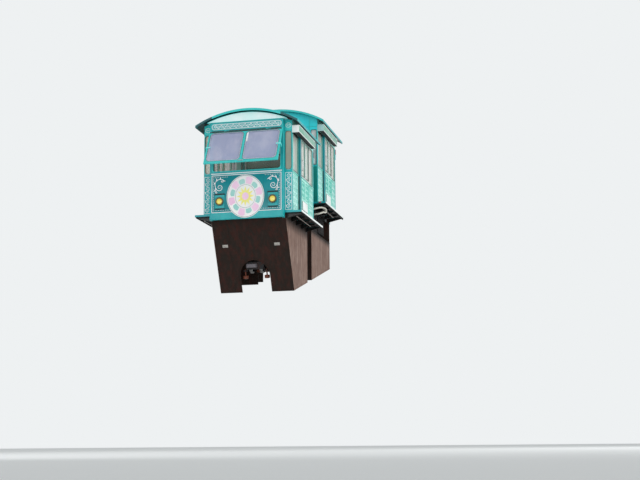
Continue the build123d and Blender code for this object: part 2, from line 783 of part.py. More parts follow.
def pinion(name, place):
    """Rack pinion on its shaft, built round the shaft's line."""
    pitch_r = MODULE * TEETH / 2
    root_r = pitch_r - 1.25 * MODULE
    with BuildSketch() as tooth:
        with BuildLine():
            Polyline(
                (root_r - 0.3 * MODULE, -1.05 * MODULE),
                (pitch_r, -pi * MODULE / 4),
                (PINION_TIP, -0.36 * MODULE),
                (PINION_TIP, 0.36 * MODULE),
                (pitch_r, pi * MODULE / 4),
                (root_r - 0.3 * MODULE, 1.05 * MODULE),
                close=True,
            )
        make_face()
    with BuildPart() as gear:
        with BuildSketch(Plane.YZ.offset(-PINION_W / 2)):
            Circle(root_r)
            with PolarLocations(0, TEETH):
                add(tooth.sketch)
        extrude(amount=PINION_W)
        with Locations(Location((0, 0, 0), ALONG_X)):
            Cylinder(SHAFT_R, 2 * (BOX_FACE + CLEAR))
            Cylinder(PINION_HUB_R, 2 * PINION_W)
    save(gear, name, place)


def drive_unit(name, place):
    """Motor and gearbox, one plain block on the truck's cross members."""
    base = 2 * CROSS_Y + CROSS_BAR
    with BuildPart() as unit:
        with Locations((0, 0, TRUCK_TOP + FLANGE_T / 2)):
            Box(2 * SILL_X - FLANGE_W - 2 * SEAT, base, FLANGE_T)
        with Locations((0, 0, FLANGE_Z + DRIVE_H / 2)):
            Box(DRIVE_W, DRIVE_L, DRIVE_H)
    save(unit, name, place)


def legs(name, place):
    """Four legs that widen from the level floor sills down to the sloping truck frame."""
    foot = FLANGE_Z / cos(slope) + SEAT
    with BuildPart() as posts:
        for side in (-1, 1):
            with BuildSketch(Plane.YZ.offset(side * SILL_X - SILL_BAR / 2)):
                for y in (TRUCK_Y - LEG_Y, TRUCK_Y + LEG_Y):
                    with BuildLine():
                        Polyline(
                            (y - LEG_HEAD / 2, -SILL_DEEP),
                            (y + LEG_HEAD / 2, -SILL_DEEP),
                            (y + LEG_FOOT / 2, beam_top(y + LEG_FOOT / 2) + foot),
                            (y - LEG_FOOT / 2, beam_top(y - LEG_FOOT / 2) + foot),
                            close=True,
                        )
                    make_face()
            extrude(amount=SILL_BAR)
    save(posts, name, place)


# Node number, place across and along the truck
AXLES = [(1, -AXLE_SPACING / 2), (2, AXLE_SPACING / 2)]
GUIDES = [
    (1, -GUIDE_X, -GUIDE_Y),
    (2, GUIDE_X, -GUIDE_Y),
    (3, -GUIDE_X, GUIDE_Y),
    (4, GUIDE_X, GUIDE_Y),
]

# Section, its place, which way its outer end looks, and how far its windscreen stands open
for section, place, turn, opened in (("front", FRONT, HERE, SASH_OPEN), ("rear", REAR, TURNED, 0)):
    outer = place * turn
    truck = place * TRUCK
    outer_wall(f"{section}_outer_wall", outer)
    inner_wall(f"{section}_inner_wall", outer)
    side_wall(f"{section}_right_wall", place, 1, RIGHT_WINDOWS, True)
    side_wall(f"{section}_left_wall", place, -1, LEFT_WINDOWS, False)
    floor(f"{section}_floor", place, turn)
    roof(f"{section}_roof", outer)
    sash(f"{section}_windscreen_sash", f"{section}_windscreen_glass", outer, opened)
    door(f"{section}_door", f"{section}_door_glass", place)
    door_box(f"{section}_door_box", place)
    glazing(f"{section}_glazing", place, turn)
    fittings(f"{section}_fittings", place)
    headlamps(f"{section}_headlamps", outer)
    truck_frame(f"{section}_truck_frame", truck)
    drive_unit(f"{section}_drive_unit", truck)
    pinion(f"{section}_drive_pinion", truck * Location((0, 0, PINION_Z)))
    legs(f"{section}_legs", place)
    for number, y in AXLES:
        axle(f"{section}_load_axle_{number}", truck * Location((0, y, WHEEL_R)))
    for number, x, y in GUIDES:
        guide_roller(f"{section}_guide_roller_{number}", truck * Location((x, y, 0)))

# Downhill skirt: its front plate leans back from the floor's edge to the nose
back_y = FLOOR_L - SKIRT_SHEET
skirt_end("front_skirt_ends", FRONT, [(2, NOSE_Y), (back_y, back_y)])
front_outline = [
    (2 + SKIRT_SHEET, 0),
    (back_y, 0),
    (back_y, skirt_low(back_y)),
    (NOSE_Y + SKIRT_SHEET, skirt_low(NOSE_Y + SKIRT_SHEET)),
    (NOSE_Y + SKIRT_SHEET, NOSE_Z),
]
skirt_sides("front_skirt_sides", FRONT, front_outline)

# Uphill skirt: upright end plates, and sides that leave the equipment bay open above
rear_back = CABIN_L - SKIRT_SHEET
skirt_end("rear_skirt_ends", REAR, [(0, 0), (rear_back, rear_back)])
rear_outline = [
    (SKIRT_SHEET, -SIDE_BAY),
    (rear_back, -SIDE_BAY),
    (rear_back, skirt_low(rear_back)),
    (SKIRT_SHEET, skirt_low(SKIRT_SHEET)),
]
skirt_sides("rear_skirt_sides", REAR, rear_outline)

# Driver's desk in the downhill bay
with BuildPart() as desk:
    with BuildSketch(Plane.YZ.offset(-SCREEN_W / 2 + DESK_START)):
        with BuildLine():
            Polyline(
                (0, FLOOR_T),
                (0.8 * DESK_D, FLOOR_T),
                (0.8 * DESK_D, 0.8 * DESK_Z),
                (DESK_D, 0.87 * DESK_Z),
                (DESK_D, 0.92 * DESK_Z),
                (0.2 * DESK_D, DESK_Z),
                (0, DESK_Z),
                close=True,
            )
        make_face()
    extrude(amount=DESK_W)
save(desk, "front_desk", FRONT)

# Blank oval display board on the bay's face
with BuildPart() as board:
    with BuildSketch(Plane.XZ.offset(BAY_OUT)):
        with Locations((BOARD_X, BOARD_Z)):
            Ellipse(BOARD_W / 2, BOARD_H / 2)
    extrude(amount=BOARD_T)
save(board, "front_display_board", FRONT)

# Buffer block on the downhill truck's headstock, standing in the skirt's arch
with BuildPart() as buffer:
    with Locations((BUFFER_X, -(TRUCK_L + BUFFER_OUT) / 2, BUFFER_Z)):
        Box(BUFFER_W, BUFFER_OUT, BUFFER_H)
save(buffer, "front_buffer", FRONT * TRUCK)

# Coupling: a bar with an upright eye on the downhill truck, a fork and pin on the other
PIVOT_Y = PITCH / 2
PIVOT_Z = PIVOT_Y * tan(slope) + BAR_H / cos(slope)
ALONG_SLOPE = Plane.XZ.rotated((SLOPE, 0, 0))
bar_start = TRUCK_SHIFT + TRUCK_L / 2
bar_end = PIVOT_Y / cos(slope) + BAR_H * tan(slope)
with BuildPart() as bar:
    with BuildSketch(ALONG_SLOPE.offset(-bar_start)):
        with Locations((0, BAR_H)):
            Rectangle(BAR_W, BAR_DEEP)
    extrude(amount=bar_start - bar_end)
    with BuildSketch(Plane.XY.offset(PIVOT_Z - EYE_T / 2)):
        with Locations((0, PIVOT_Y)):
            Circle(EYE_R)
    extrude(amount=EYE_T)
    with Locations((0, PIVOT_Y, PIVOT_Z)):
        Hole(COUPLING_PIN_R + FIT, 2 * EYE_T)
save(bar, "front_coupling_bar", HERE)

fork_start = bar_end + SHANK_SET
fork_end = PITCH / cos(slope) + TRUCK_SHIFT - TRUCK_L / 2
prong = EYE_T / 2 + CLEAR
with BuildPart() as fork:
    with BuildSketch(ALONG_SLOPE.offset(-fork_start)):
        with Locations((0, BAR_H)):
            Rectangle(SHANK_W, 2 * prong + 3 * FORK_T)
    extrude(amount=fork_start - fork_end)
    for low in (PIVOT_Z - prong - FORK_T, PIVOT_Z + prong):
        with BuildSketch(Plane.XY.offset(low)):
            with Locations((0, PIVOT_Y + FORK_REACH / 2)):
                Rectangle(FORK_W, FORK_REACH)
            with Locations((0, PIVOT_Y)):
                Circle(FORK_W / 2)
        extrude(amount=FORK_T)
    with Locations((0, PIVOT_Y, PIVOT_Z)):
        Cylinder(COUPLING_PIN_R, 2 * prong + 3 * FORK_T)
save(fork, "rear_coupling_fork", HERE)

# Equipment in the open bay under the uphill floor, hung from the sills: each cabinet's
# middle across, its start and end along, and its depth
low_end, high_end = CABINET_SPLIT, CABIN_L - CABINET_SET
CABINETS = [
    (CABINET_X, CABINET_START, low_end),
    (CABINET_X, low_end + CABINET_GAP, high_end),
    (-CABINET_X, CABINET_START, high_end - 2 * CABINET_GAP),
]
with BuildPart() as equipment:
    for (x, start, end), deep in zip(CABINETS, CABINET_DEPTHS):
        with Locations((x, (start + end) / 2, -SILL_DEEP - deep / 2)):
            Box(CABINET_W, end - start, deep)
save(equipment, "rear_equipment", REAR)
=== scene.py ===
"""Looks of the two-section slope car: painted panels, mouldings, glass, lamps and running gear.

Lengths in the functions are millimetres in a section's own frame: x across, y from the
downhill wing plane uphill, z from the underside of the floor plate. at() turns them into the
shared frame's metres. At an outer end, y counts outwards from that end's wing plane.
"""

import bmesh
import bpy
import numpy as np
from mathutils import Matrix


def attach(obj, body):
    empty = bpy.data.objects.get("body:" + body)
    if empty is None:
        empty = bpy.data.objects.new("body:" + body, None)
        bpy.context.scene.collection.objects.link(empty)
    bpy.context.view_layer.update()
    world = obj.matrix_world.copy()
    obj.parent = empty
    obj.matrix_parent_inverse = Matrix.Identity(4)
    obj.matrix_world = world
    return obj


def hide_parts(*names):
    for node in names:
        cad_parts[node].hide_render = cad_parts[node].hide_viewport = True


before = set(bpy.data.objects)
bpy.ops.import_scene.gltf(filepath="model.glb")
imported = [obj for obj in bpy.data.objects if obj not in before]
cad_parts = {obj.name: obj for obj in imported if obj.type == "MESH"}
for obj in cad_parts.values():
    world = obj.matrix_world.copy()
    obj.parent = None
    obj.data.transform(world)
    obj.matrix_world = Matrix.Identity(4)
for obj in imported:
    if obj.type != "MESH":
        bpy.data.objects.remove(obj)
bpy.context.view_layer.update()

SLOPE = np.radians(15.25)
# Level distance from one section to the next, and from a floor plate down to the beam under its middle
PITCH, DEPTH = 2315.0, 1064.0
# A cabin's length and half its width, the bay's reach past the wings, and the truck's shift uphill
LENGTH, HALF, BAY_OUT, SHIFT = 1880.0, 950.0, 114.0, 240.0
# Windscreen: hinge line, the sash's foot and top, size and middle of a pane, the opening's four sides
HINGE = np.array([0.0, -134.0, 1761.0])
SASH_LOW, SASH_TOP = 880.0, 1745.0
PANE_W, PANE_H, PANE_X, PANE_Z = 716.0, 773.0, 387.0, 1316.5
SCREEN = (-735.0, 735.0, 905.0, 1720.0)
# Outer face of the door's leaf, the wings' middle line, and the middle of a headlamp
DOOR_OUT, WING_X, LAMP_X, LAMP_Z = 996.0, 868.5, 567.0, 272.0
# The angle at which each windscreen stands at rest
OPEN = {"front": np.radians(28.0), "rear": 0.0}
ORIGIN = {
    "front": np.array([0, -LENGTH / 2, DEPTH]),
    "rear": np.array([0, PITCH - LENGTH / 2, DEPTH + PITCH * np.tan(SLOPE)]),
}
SECTIONS = ("front", "rear")
TAU = 2 * np.pi
# Edges that turn by more than this stay sharp
CREASE = np.radians(38)


# Places

def at(section, P, end=False):
    """Section millimetres to shared metres. With end, in the outer end's frame: the rear end's is turned
    half round."""
    P = np.asarray(P, float)
    if end and section == "rear":
        P = P * (-1, -1, 1) + (0, LENGTH, 0)
    return (P + ORIGIN[section]) / 1000


def at_sash(section, P):
    """The outer end's frame, swung about the windscreen hinge by the angle at which the sash stands."""
    turn = OPEN[section]
    Q = np.asarray(P, float) - HINGE
    y = Q[..., 1] * np.cos(turn) + Q[..., 2] * np.sin(turn)
    z = -Q[..., 1] * np.sin(turn) + Q[..., 2] * np.cos(turn)
    return at(section, np.stack([Q[..., 0], y, z], -1) + HINGE, True)


def at_truck(section, P):
    """The truck's sloping frame: y along the beam from its middle, z square to the running surface."""
    P = np.asarray(P, float)
    s = P[..., 1] + SHIFT
    y = LENGTH / 2 + s * np.cos(SLOPE) - P[..., 2] * np.sin(SLOPE)
    z = -DEPTH + s * np.sin(SLOPE) + P[..., 2] * np.cos(SLOPE)
    return at(section, np.stack([P[..., 0], y, z], -1))


class Face:
    """A flat face to work on: origin, the directions of u and v along it, and the way out of it."""

    def __init__(self, origin, u, v, out, place):
        self.origin, self.axes, self.place = np.array(origin, float), np.array([u, v, out], float), place

    def __call__(self, P):
        return self.place(np.asarray(P, float) @ self.axes + self.origin)

    def spot(self, u, v, out=0.0):
        """A point on the face before it is placed, for shapes that are placed as a whole."""
        return self.origin + np.array([u, v, out]) @ self.axes


def end_face(section, depth):
    return Face((0, depth, 0), (1, 0, 0), (0, 0, 1), (0, -1, 0), lambda P: at(section, P, True))


def sash_face(section, depth):
    return Face((0, depth, 0), (1, 0, 0), (0, 0, 1), (0, -1, 0), lambda P: at_sash(section, P))


def inner_face(section):
    return Face((0, LENGTH, 0), (-1, 0, 0), (0, 0, 1), (0, 1, 0), lambda P: at(section, P, True))


def side_face(section, x):
    return Face((x, 0, 0), (0, 1, 0), (0, 0, 1), (np.sign(x), 0, 0), lambda P: at(section, P))


# Shapes

def grid(P, ring=False):
    """Faces over a grid of points P[row, column]. Columns wrap round, and the first and last rows are
    closed with one face each, or joined to each other when the rows make a ring."""
    n, k = P.shape[:2]
    i, j = np.arange(n if ring else n - 1)[:, None], np.arange(k)[None, :]
    i2, j2 = (i + 1) % n, (j + 1) % k
    faces = [np.stack([i * k + j, i2 * k + j, i2 * k + j2, i * k + j2], -1).reshape(-1, 4)]
    if not ring:
        faces += [np.arange(k)[None], (n - 1) * k + np.arange(k)[None]]
    return P.reshape(-1, 3), faces


def loop(wide, high, radius=0.0, middle=(0, 0), steps=6):
    """Closed rounded rectangle: four quarter circles, one at each corner, joined by the straight sides."""
    a = np.linspace(0, np.pi / 2, steps)
    corner = np.stack([np.cos(a), np.sin(a)], -1) * radius
    turns = [np.array([[np.cos(q), np.sin(q)], [-np.sin(q), np.cos(q)]]) for q in np.arange(4) * np.pi / 2]
    ends = np.array([[1, 1], [-1, 1], [-1, -1], [1, -1]]) * (wide / 2 - radius, high / 2 - radius)
    return np.concatenate([corner @ turn + end for turn, end in zip(turns, ends)]) + middle


def between(left, right, low, high, radius=0.0, steps=6):
    """The same rounded rectangle, from its four sides."""
    return loop(right - left, high - low, radius, ((left + right) / 2, (low + high) / 2), steps)


def oval(a, b, middle=(0, 0), steps=40):
    """Closed ellipse: cosine and sine of the angle times the two half widths."""
    t = np.arange(steps) / steps * TAU
    return np.stack([a * np.cos(t), b * np.sin(t)], -1) + middle


# Sections to carry along a path, in widths across and heights out
BEAD = np.array([(-0.5, -0.15), (-0.5, 0.3), (-0.3, 0.8), (0, 1), (0.3, 0.8), (0.5, 0.3), (0.5, -0.15)])
STRIP = np.array([(-0.5, -0.1), (-0.5, 0.8), (-0.42, 1), (0.42, 1), (0.5, 0.8), (0.5, -0.1)])
RIDGE = np.array([(-0.5, -0.2), (-0.32, 0.7), (0, 1), (0.32, 0.7), (0.5, -0.2)])
SEAL = np.array([(-0.5, -0.3), (-0.5, 0.7), (-0.2, 1), (0.1, 0.7), (0.5, 0.4), (0.5, -0.3)])


def carry(path, wide, high, face, closed=True, profile=BEAD, taper=None, lift=0.0):
    """A profile carried along a path on a face. Each ring stands on the bisector of its two segments and
    is widened by one over the cosine of half their angle, so corners come out mitred. taper scales each
    ring, and lift raises all of them."""
    path = np.asarray(path, float)
    ahead = np.roll(path, -1, 0) - path
    ahead /= np.linalg.norm(ahead, axis=1, keepdims=True) + 1e-9
    back = np.roll(ahead, 1, 0)
    if not closed:
        ahead[-1], back[0] = ahead[-2], ahead[0]
    along = ahead + back
    along /= np.linalg.norm(along, axis=1, keepdims=True) + 1e-9
    side = np.stack([-along[:, 1], along[:, 0]], -1)
    mitre = 1 / np.clip((along * ahead).sum(1), 0.35, 1)
    size = np.ones(len(path)) if taper is None else np.asarray(taper)
    reach = (size * mitre)[:, None] * profile[None, :, 0] * wide
    flat = path[:, None] + side[:, None] * reach[..., None]
    rise = size[:, None] ** 0.5 * profile[None, :, 1] * high + lift
    return grid(face(np.concatenate([flat, rise[..., None]], -1)), ring=closed)


def level(a, b, z, wide, high, face, profile=STRIP):
    """A straight strip along a face at height z, from a to b."""
    return carry([(a, z), (b, z)], wide, high, face, False, profile)


def upright(x, low, top, wide, high, face, profile=STRIP):
    """A straight strip up a face at x, from low to top."""
    return carry([(x, low), (x, top)], wide, high, face, False, profile)


def raised(rings):
    """Flat outlines, each at its own height above a face, as rows of points."""
    return [np.column_stack([ring, np.full(len(ring), height)]) for ring, height in rings]


def plate(outline, low, high, face, edge=1.5):
    """A flat plate: its outline drawn in by the edge, full, full and drawn in again, at four heights."""
    outline = np.asarray(outline, float)
    middle = outline.mean(0)
    half = np.abs(outline - middle).max(0)
    inset = middle + (outline - middle) * (1 - edge / half)
    rings = [(inset, low), (outline, low + edge / 2), (outline, high - edge), (inset, high)]
    return grid(face(np.stack(raised(rings))))


def sheet(outline, face, high=1.5):
    """A thin sheet laid on a face."""
    return plate(outline, -0.5, high, face, 0.8)


def border(outside, inside, low, high, face):
    """A frame between two closed outlines with as many points each: its section is a closed rectangle."""
    rings = [(outside, low), (outside, high), (inside, high), (inside, low)]
    return grid(face(np.stack(raised(rings), 1)), ring=True)


def turned(profile, origin, axis, place, steps=32):
    """A turned shape: each (radius, distance) of the profile makes one circle round the axis."""
    axis = np.asarray(axis, float) / np.linalg.norm(axis)
    u = np.cross(axis, (0.3, 0.5, 0.81))
    u /= np.linalg.norm(u)
    v = np.cross(axis, u)
    t = np.arange(steps) / steps * TAU
    circle = np.cos(t)[:, None] * u + np.sin(t)[:, None] * v
    profile = np.asarray(profile, float)
    P = profile[:, None, :1] * circle[None] + profile[:, None, 1:] * axis + np.asarray(origin, float)
    return grid(place(P))


def bolts(points, axis, place, radius=8.0, high=6.0):
    """Domed heads: a six-sided turned shape at each point."""
    shape = [(radius, -1), (radius, high * 0.6), (radius * 0.7, high), (radius * 0.2, high * 1.05)]
    return [turned(shape, point, axis, place, 6) for point in points]


def pipe(path, radius, place, steps=10):
    """A round bar along a path in space: circles square to the path, their first direction kept level."""
    path = np.asarray(path, float)
    along = np.gradient(path, axis=0)
    along /= np.linalg.norm(along, axis=1, keepdims=True)
    u = np.cross(along, (0.12, 0.35, 0.93))
    u /= np.linalg.norm(u, axis=1, keepdims=True)
    v = np.cross(along, u)
    t = np.arange(steps) / steps * TAU
    circles = np.cos(t)[None, :, None] * u[:, None] + np.sin(t)[None, :, None] * v[:, None]
    return grid(place(path[:, None] + radius * circles))


def bend(points, steps=8):
    """A smooth line through a few points: Catmull-Rom cubics between neighbours."""
    p = np.asarray(points, float)
    p = np.concatenate([2 * p[:1] - p[1:2], p, 2 * p[-1:] - p[-2:-1]])
    t = np.linspace(0, 1, steps, endpoint=False)[:, None]
    runs = []
    for a, b, c, d in zip(p, p[1:], p[2:], p[3:]):
        square, cube = 2 * a - 5 * b + 4 * c - d, 3 * b - a - 3 * c + d
        runs.append(0.5 * (2 * b + (c - a) * t + square * t**2 + cube * t**3))
    return np.concatenate(runs + [p[-2:-1]])


def brick(low, high, place, edge=3.0):
    """A block with eased edges: a rounded outline at four heights, drawn in at the first and last."""
    low, high = np.minimum(low, high), np.maximum(low, high)
    face = Face((0, 0, 0), (1, 0, 0), (0, 1, 0), (0, 0, 1), place)
    return plate(between(low[0], high[0], low[1], high[1], edge, 3), low[2], high[2], face, edge * 0.7)


def pair(low, high, place, edge=3.0):
    """A block and its mirror image across x."""
    return [brick((s * low[0], *low[1:]), (s * high[0], *high[1:]), place, edge) for s in (-1, 1)]


def scroll(middle, radius, turns, start, hand=1, steps=34):
    """A scroll: the angle runs on evenly while the radius falls to about an eighth, and the line thins.
    Returns the path and the thinning."""
    t = np.linspace(0, 1, steps)
    a = start + hand * TAU * turns * t
    r = radius * (1 - 0.88 * t**0.8)
    return np.stack([np.cos(a) * r, np.sin(a) * r], -1) + middle, 1 - 0.55 * t


def leaf(start, angle, size, face, high, lift=0.0):
    """A leaf: a short curved line whose width swells to full at a third and falls to a point."""
    t = np.linspace(0, 1, 9)
    turn = angle + 0.7 * t
    path = np.asarray(start, float) + np.stack([np.cos(turn), np.sin(turn)], -1) * (size * t)[:, None]
    return carry(path, size * 0.42, high, face, False, RIDGE, np.sin(np.pi * (0.06 + 0.9 * t**0.7)), lift)


def vine(start, end, waves, swing, face, wide, high, lift=0.0):
    """A running scroll: a sine stem, a scroll that leaves it past each crest and curls back into the hollow
    under that crest, and a leaf on the crest's outside."""
    start, end = np.array(start, float), np.array(end, float)
    along = end - start
    size = np.linalg.norm(along)
    along /= size
    side = np.array([-along[1], along[0]])
    base = np.arctan2(along[1], along[0])
    pitch = size / waves
    stem_at = lambda t: start + t[:, None] * pitch * along + np.sin(t * np.pi)[:, None] * side * swing
    stem = stem_at(np.linspace(0, waves, 8 * waves + 1))
    shells = [carry(stem, wide, high, face, False, RIDGE, lift=lift)]
    radius = min(0.44 * pitch, 0.86 * swing)
    for k in range(waves):
        up = 1 if k % 2 == 0 else -1
        middle = start + along * pitch * (k + 0.5) - side * up * (swing * 0.86 - radius)
        path, taper = scroll(middle, radius, 1.35, base + up * 0.25, -up, 24)
        path = np.concatenate([stem_at(np.array([k + 0.82])), path])
        shells.append(carry(path, wide, high, face, False, RIDGE, np.append(1, taper), lift))
        crest = start + along * pitch * (k + 0.58) + side * up * swing * 0.94
        shells.append(leaf(crest, base + up * 0.5 - 0.35, pitch * 0.34, face, high, lift))
    return shells


def piece(name, shells, body, finish):
    """One object from closed shells, as one mesh: faces turned outwards, edges over CREASE left sharp."""
    points, faces, count = [], [], 0
    for P, groups in shells:
        points.append(P)
        faces += [row for group in groups for row in (group + count).tolist()]
        count += len(P)
    mesh = bpy.data.meshes.new(name)
    mesh.from_pydata(np.concatenate(points), [], faces)
    work = bmesh.new()
    work.from_mesh(mesh)
    bmesh.ops.recalc_face_normals(work, faces=work.faces)
    work.to_mesh(mesh)
    work.free()
    mesh.polygons.foreach_set("use_smooth", np.ones(len(mesh.polygons), bool))
    mesh.set_sharp_from_angle(angle=CREASE)
    mesh.materials.append(finish)
    made = bpy.data.objects.new(name, mesh)
    bpy.context.scene.collection.objects.link(made)
    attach(made, body)
    return made


def fit(section, name, shells, finish, body="section", slot=None):
    """A piece of one section, on one of its bodies; the slot that goes with its finish is worked out but not
    used.
    """
    slot = slot or SLOT_OF[finish.name]
    return piece(f"{section}_{name}", shells, f"{section}_{body}", finish)


# Finishes

def linear(code):
    """An sRGB hex colour as linear red, green, blue and 1."""
    c = np.array([int(code[i : i + 2], 16) for i in (1, 3, 5)]) / 255
    return (*np.where(c <= 0.04045, c / 12.92, ((c + 0.055) / 1.055) ** 2.4), 1.0)


class Nodes:
    """The nodes of a material or world, with short ways to add and join them."""

    def __init__(self, holder, main):
        holder.use_nodes = True
        self.holder, self.tree, self.main = holder, holder.node_tree, holder.node_tree.nodes[main]

    def give(self, socket, value):
        """Join another node's output to a socket, or set the socket to a value."""
        if isinstance(value, bpy.types.NodeSocket):
            self.tree.links.new(value, socket)
        else:
            socket.default_value = value

    def feed(self, node, **settings):
        """Settings name the node's properties, or its sockets with underscores for spaces."""
        for key, value in settings.items():
            if hasattr(node, key):
                setattr(node, key, value)
            else:
                self.give(node.inputs[key.replace("_", " ")], value)
        return node

    def add(self, kind, **settings):
        """A new node with its settings."""
        return self.feed(self.tree.nodes.new(f"ShaderNode{kind}"), **settings)

    def reckon(self, operation, *terms):
        """The outcome of a Math node."""
        node = self.add("Math", operation=operation)
        for socket, term in zip(node.inputs, terms):
            self.give(socket, term)
        return node.outputs[0]

    def part(self, axis, vector=None):
        """One coordinate of a vector, or of the place on the object."""
        return self.add("SeparateXYZ", Vector=vector or self.where).outputs[axis]

    def noise(self, size_mm, stretch=(1, 1, 1), detail=3.0, rough=0.55):
        """Noise whose blotches are about size_mm across, drawn out along an axis where stretch is over 1."""
        moved = self.add("Mapping", Vector=self.where, Scale=tuple(1000 / size_mm / s for s in stretch))
        node = self.add("TexNoise", Vector=moved.outputs[0], Scale=1.0, Detail=detail, Roughness=rough)
        return node.outputs["Fac"]

    def ramp(self, value, low, high, bottom=0.0, top=1.0):
        """Stretch a value's range from low..high to bottom..top, held at both ends."""
        limits = {"From_Min": low, "From_Max": high, "To_Min": bottom, "To_Max": top}
        return self.add("MapRange", Value=value, **limits).outputs[0]

    def blend(self, amount, a, b):
        """Mix colour or output a with b by an amount."""
        node = self.add("Mix", data_type="RGBA")
        self.give(node.inputs[0], amount)
        for socket, colour in ((node.inputs[6], a), (node.inputs[7], b)):
            self.give(socket, linear(colour) if isinstance(colour, str) else colour)
        return node.outputs[2]

    def finish(self, tone, gloss, height, bump, deep, **settings):
        """Colour, roughness and bumps to the surface, with its other settings; returns the material."""
        relief = self.add("Bump", Height=height, Strength=bump, Distance=deep)
        self.feed(self.main, Base_Color=tone, Roughness=gloss, Normal=relief.outputs[0], **settings)
        return self.holder


def start(name):
    """The nodes of a new material, with the object's own coordinates."""
    made = Nodes(bpy.data.materials.new(name), "Principled BSDF")
    made.where = made.add("TexCoord").outputs["Object"]
    return made


def enamel(
    name, colour, faded, dirt, streaks=0.35, lining=None, under=None, grain_mm=9, laps=None, brim=None
):
    """Gloss enamel sprayed on sheet steel: broad fading, vertical rain runs, and orange peel, drawn coarse.
    lining gives (axis, value, side, colour) of the sheet's inner face, and under the colour painted as shade
    on what faces down. brim gives (reach, colour) of a painted highlight further than reach from the middle
    line, and laps (first, pitch) the places along y where two sheets lap, with dirt in the joint."""
    made = start(name)
    tone = made.blend(made.ramp(made.noise(420), 0.35, 0.7), colour, faded)
    runs = made.noise(55, (1, 1, 12), 5.0, 0.6)
    tone = made.blend(made.ramp(runs, 0.56, 0.84, 0, streaks), tone, dirt)
    height = made.noise(grain_mm)
    if laps:
        first, pitch = laps
        near = made.reckon("PINGPONG", made.reckon("SUBTRACT", made.part("Y"), first), pitch / 2)
        tone = made.blend(made.ramp(near, 0.004, 0.012, 0.75, 0), tone, dirt)
        height = made.reckon("ADD", height, made.ramp(near, 0.018, 0.022, 6, 0))
    if lining:
        axis, value, side, inner = lining
        past = made.ramp(made.part(axis), value - 0.001 * side, value + 0.001 * side)
        tone = made.blend(past, inner, tone)
    if brim:
        reach, edge = brim
        past = made.ramp(made.reckon("ABSOLUTE", made.part("X")), reach - 0.001, reach + 0.001)
        tone = made.blend(past, tone, edge)
    if under:
        facing = made.part("Z", made.add("NewGeometry").outputs["Normal"])
        tone = made.blend(made.ramp(facing, -0.3, -0.2), under, tone)
    gloss = made.ramp(made.noise(130), 0.3, 0.7, 0.3, 0.45)
    skin = {"Specular_IOR_Level": 0.35, "Coat_Weight": 0.15, "Coat_Roughness": 0.12}
    return made.finish(tone, gloss, height, 0.12, 0.0012, **skin)


def weathered(name, colour, rust, pale, runs, rust_top, rough, shine, floor_shadow=None):
    """Old paint outdoors: rust blooming from small spots, broad dark runs and narrow pale ones.
    The last argument gives (height, depth, colour) of a painted shadow under a ledge, which fades downwards."""
    made = start(name)
    bloom = made.noise(85, (1, 1, 2.2), 6.0, 0.65)
    tone = made.blend(made.ramp(bloom, 0.5, rust_top), colour, rust)
    tone = made.blend(made.ramp(made.noise(95, (1, 1, 14)), 0.46, 0.66, 0, 0.45), tone, rust)
    down = made.ramp(made.noise(34, (1, 1, 22), 5.0, 0.65), *runs)
    patch = made.ramp(made.noise(380, (1, 1, 1.6)), 0.42, 0.6, 0.1, 0.8)
    tone = made.blend(made.reckon("MULTIPLY", down, patch), tone, pale)
    # A painted shadow under the ledge, fading downwards
    if floor_shadow:
        ledge, depth, shadow_colour = floor_shadow
        near = made.ramp(made.part("Z"), ledge - depth, ledge - depth * 0.3, 0, 0.9)
        tone = made.blend(near, tone, shadow_colour)
    gloss, pits = made.ramp(bloom, 0.3, 0.7, *rough), made.noise(6, detail=5.0)
    return made.finish(tone, gloss, pits, 0.35, 0.002, Specular_IOR_Level=shine)


def pane(name, tint, dusty, clear, ends=()):
    """Toughened glass under road dust, tinted with a painted reflection of the sky in wide blotches. ends
    gives (place, colour) of the panes within 60 mm of that y, where a painted reflection of another part of
    the sky stands in the tint."""
    made = start(name)
    tone = made.blend(made.ramp(made.noise(260, (1, 1, 1.8), 4.0), 0.4, 0.75), tint, dusty)
    for place, colour in ends:
        tone = made.blend(made.reckon("COMPARE", made.part("Y"), place, 0.06), tone, colour)
    made.feed(made.main, Base_Color=tone, Alpha=clear, Roughness=0.06, IOR=1.52, Coat_Weight=0.6)
    return made.holder


def plain(
    name, colour, worn, size_mm, rough=(0.4, 0.6), metal=0.0, stretch=(1, 1, 1), bump=0.15, coat=0.0, **more
):
    """A through-coloured or bare finish: two tones in blotches, lines or brush marks of a real size."""
    made = start(name)
    marks = made.noise(size_mm, stretch, 4.0)
    tone = made.blend(made.ramp(marks, 0.35, 0.7), colour, worn)
    gloss = made.ramp(marks, 0.3, 0.7, *rough)
    return made.finish(tone, gloss, marks, bump, 0.001, Metallic=metal, Coat_Weight=coat, **more)


# Cream inside, painted shade under the floor and on the skirts under it, and each wall paint with its
# bleached and its dirty tone
CREAM, UNDERFLOOR_SHADOW, FLOOR_SHADE = "#e9e4d6", "#15100e", "#131515"
# The sides' mint is their pale paint, made paler still by painted sunlight
TEAL, SUNLIT_MINT = ("#0d9fa4", "#1bb0b2", "#0a686e"), ("#8fdfd0", "#b2eee2", "#45b8a5")
# The inner ends' teal, lighter as painted sunlight
SUNLIT_TEAL = "#1ad6e0", "#34e6ea", "#0d969c"


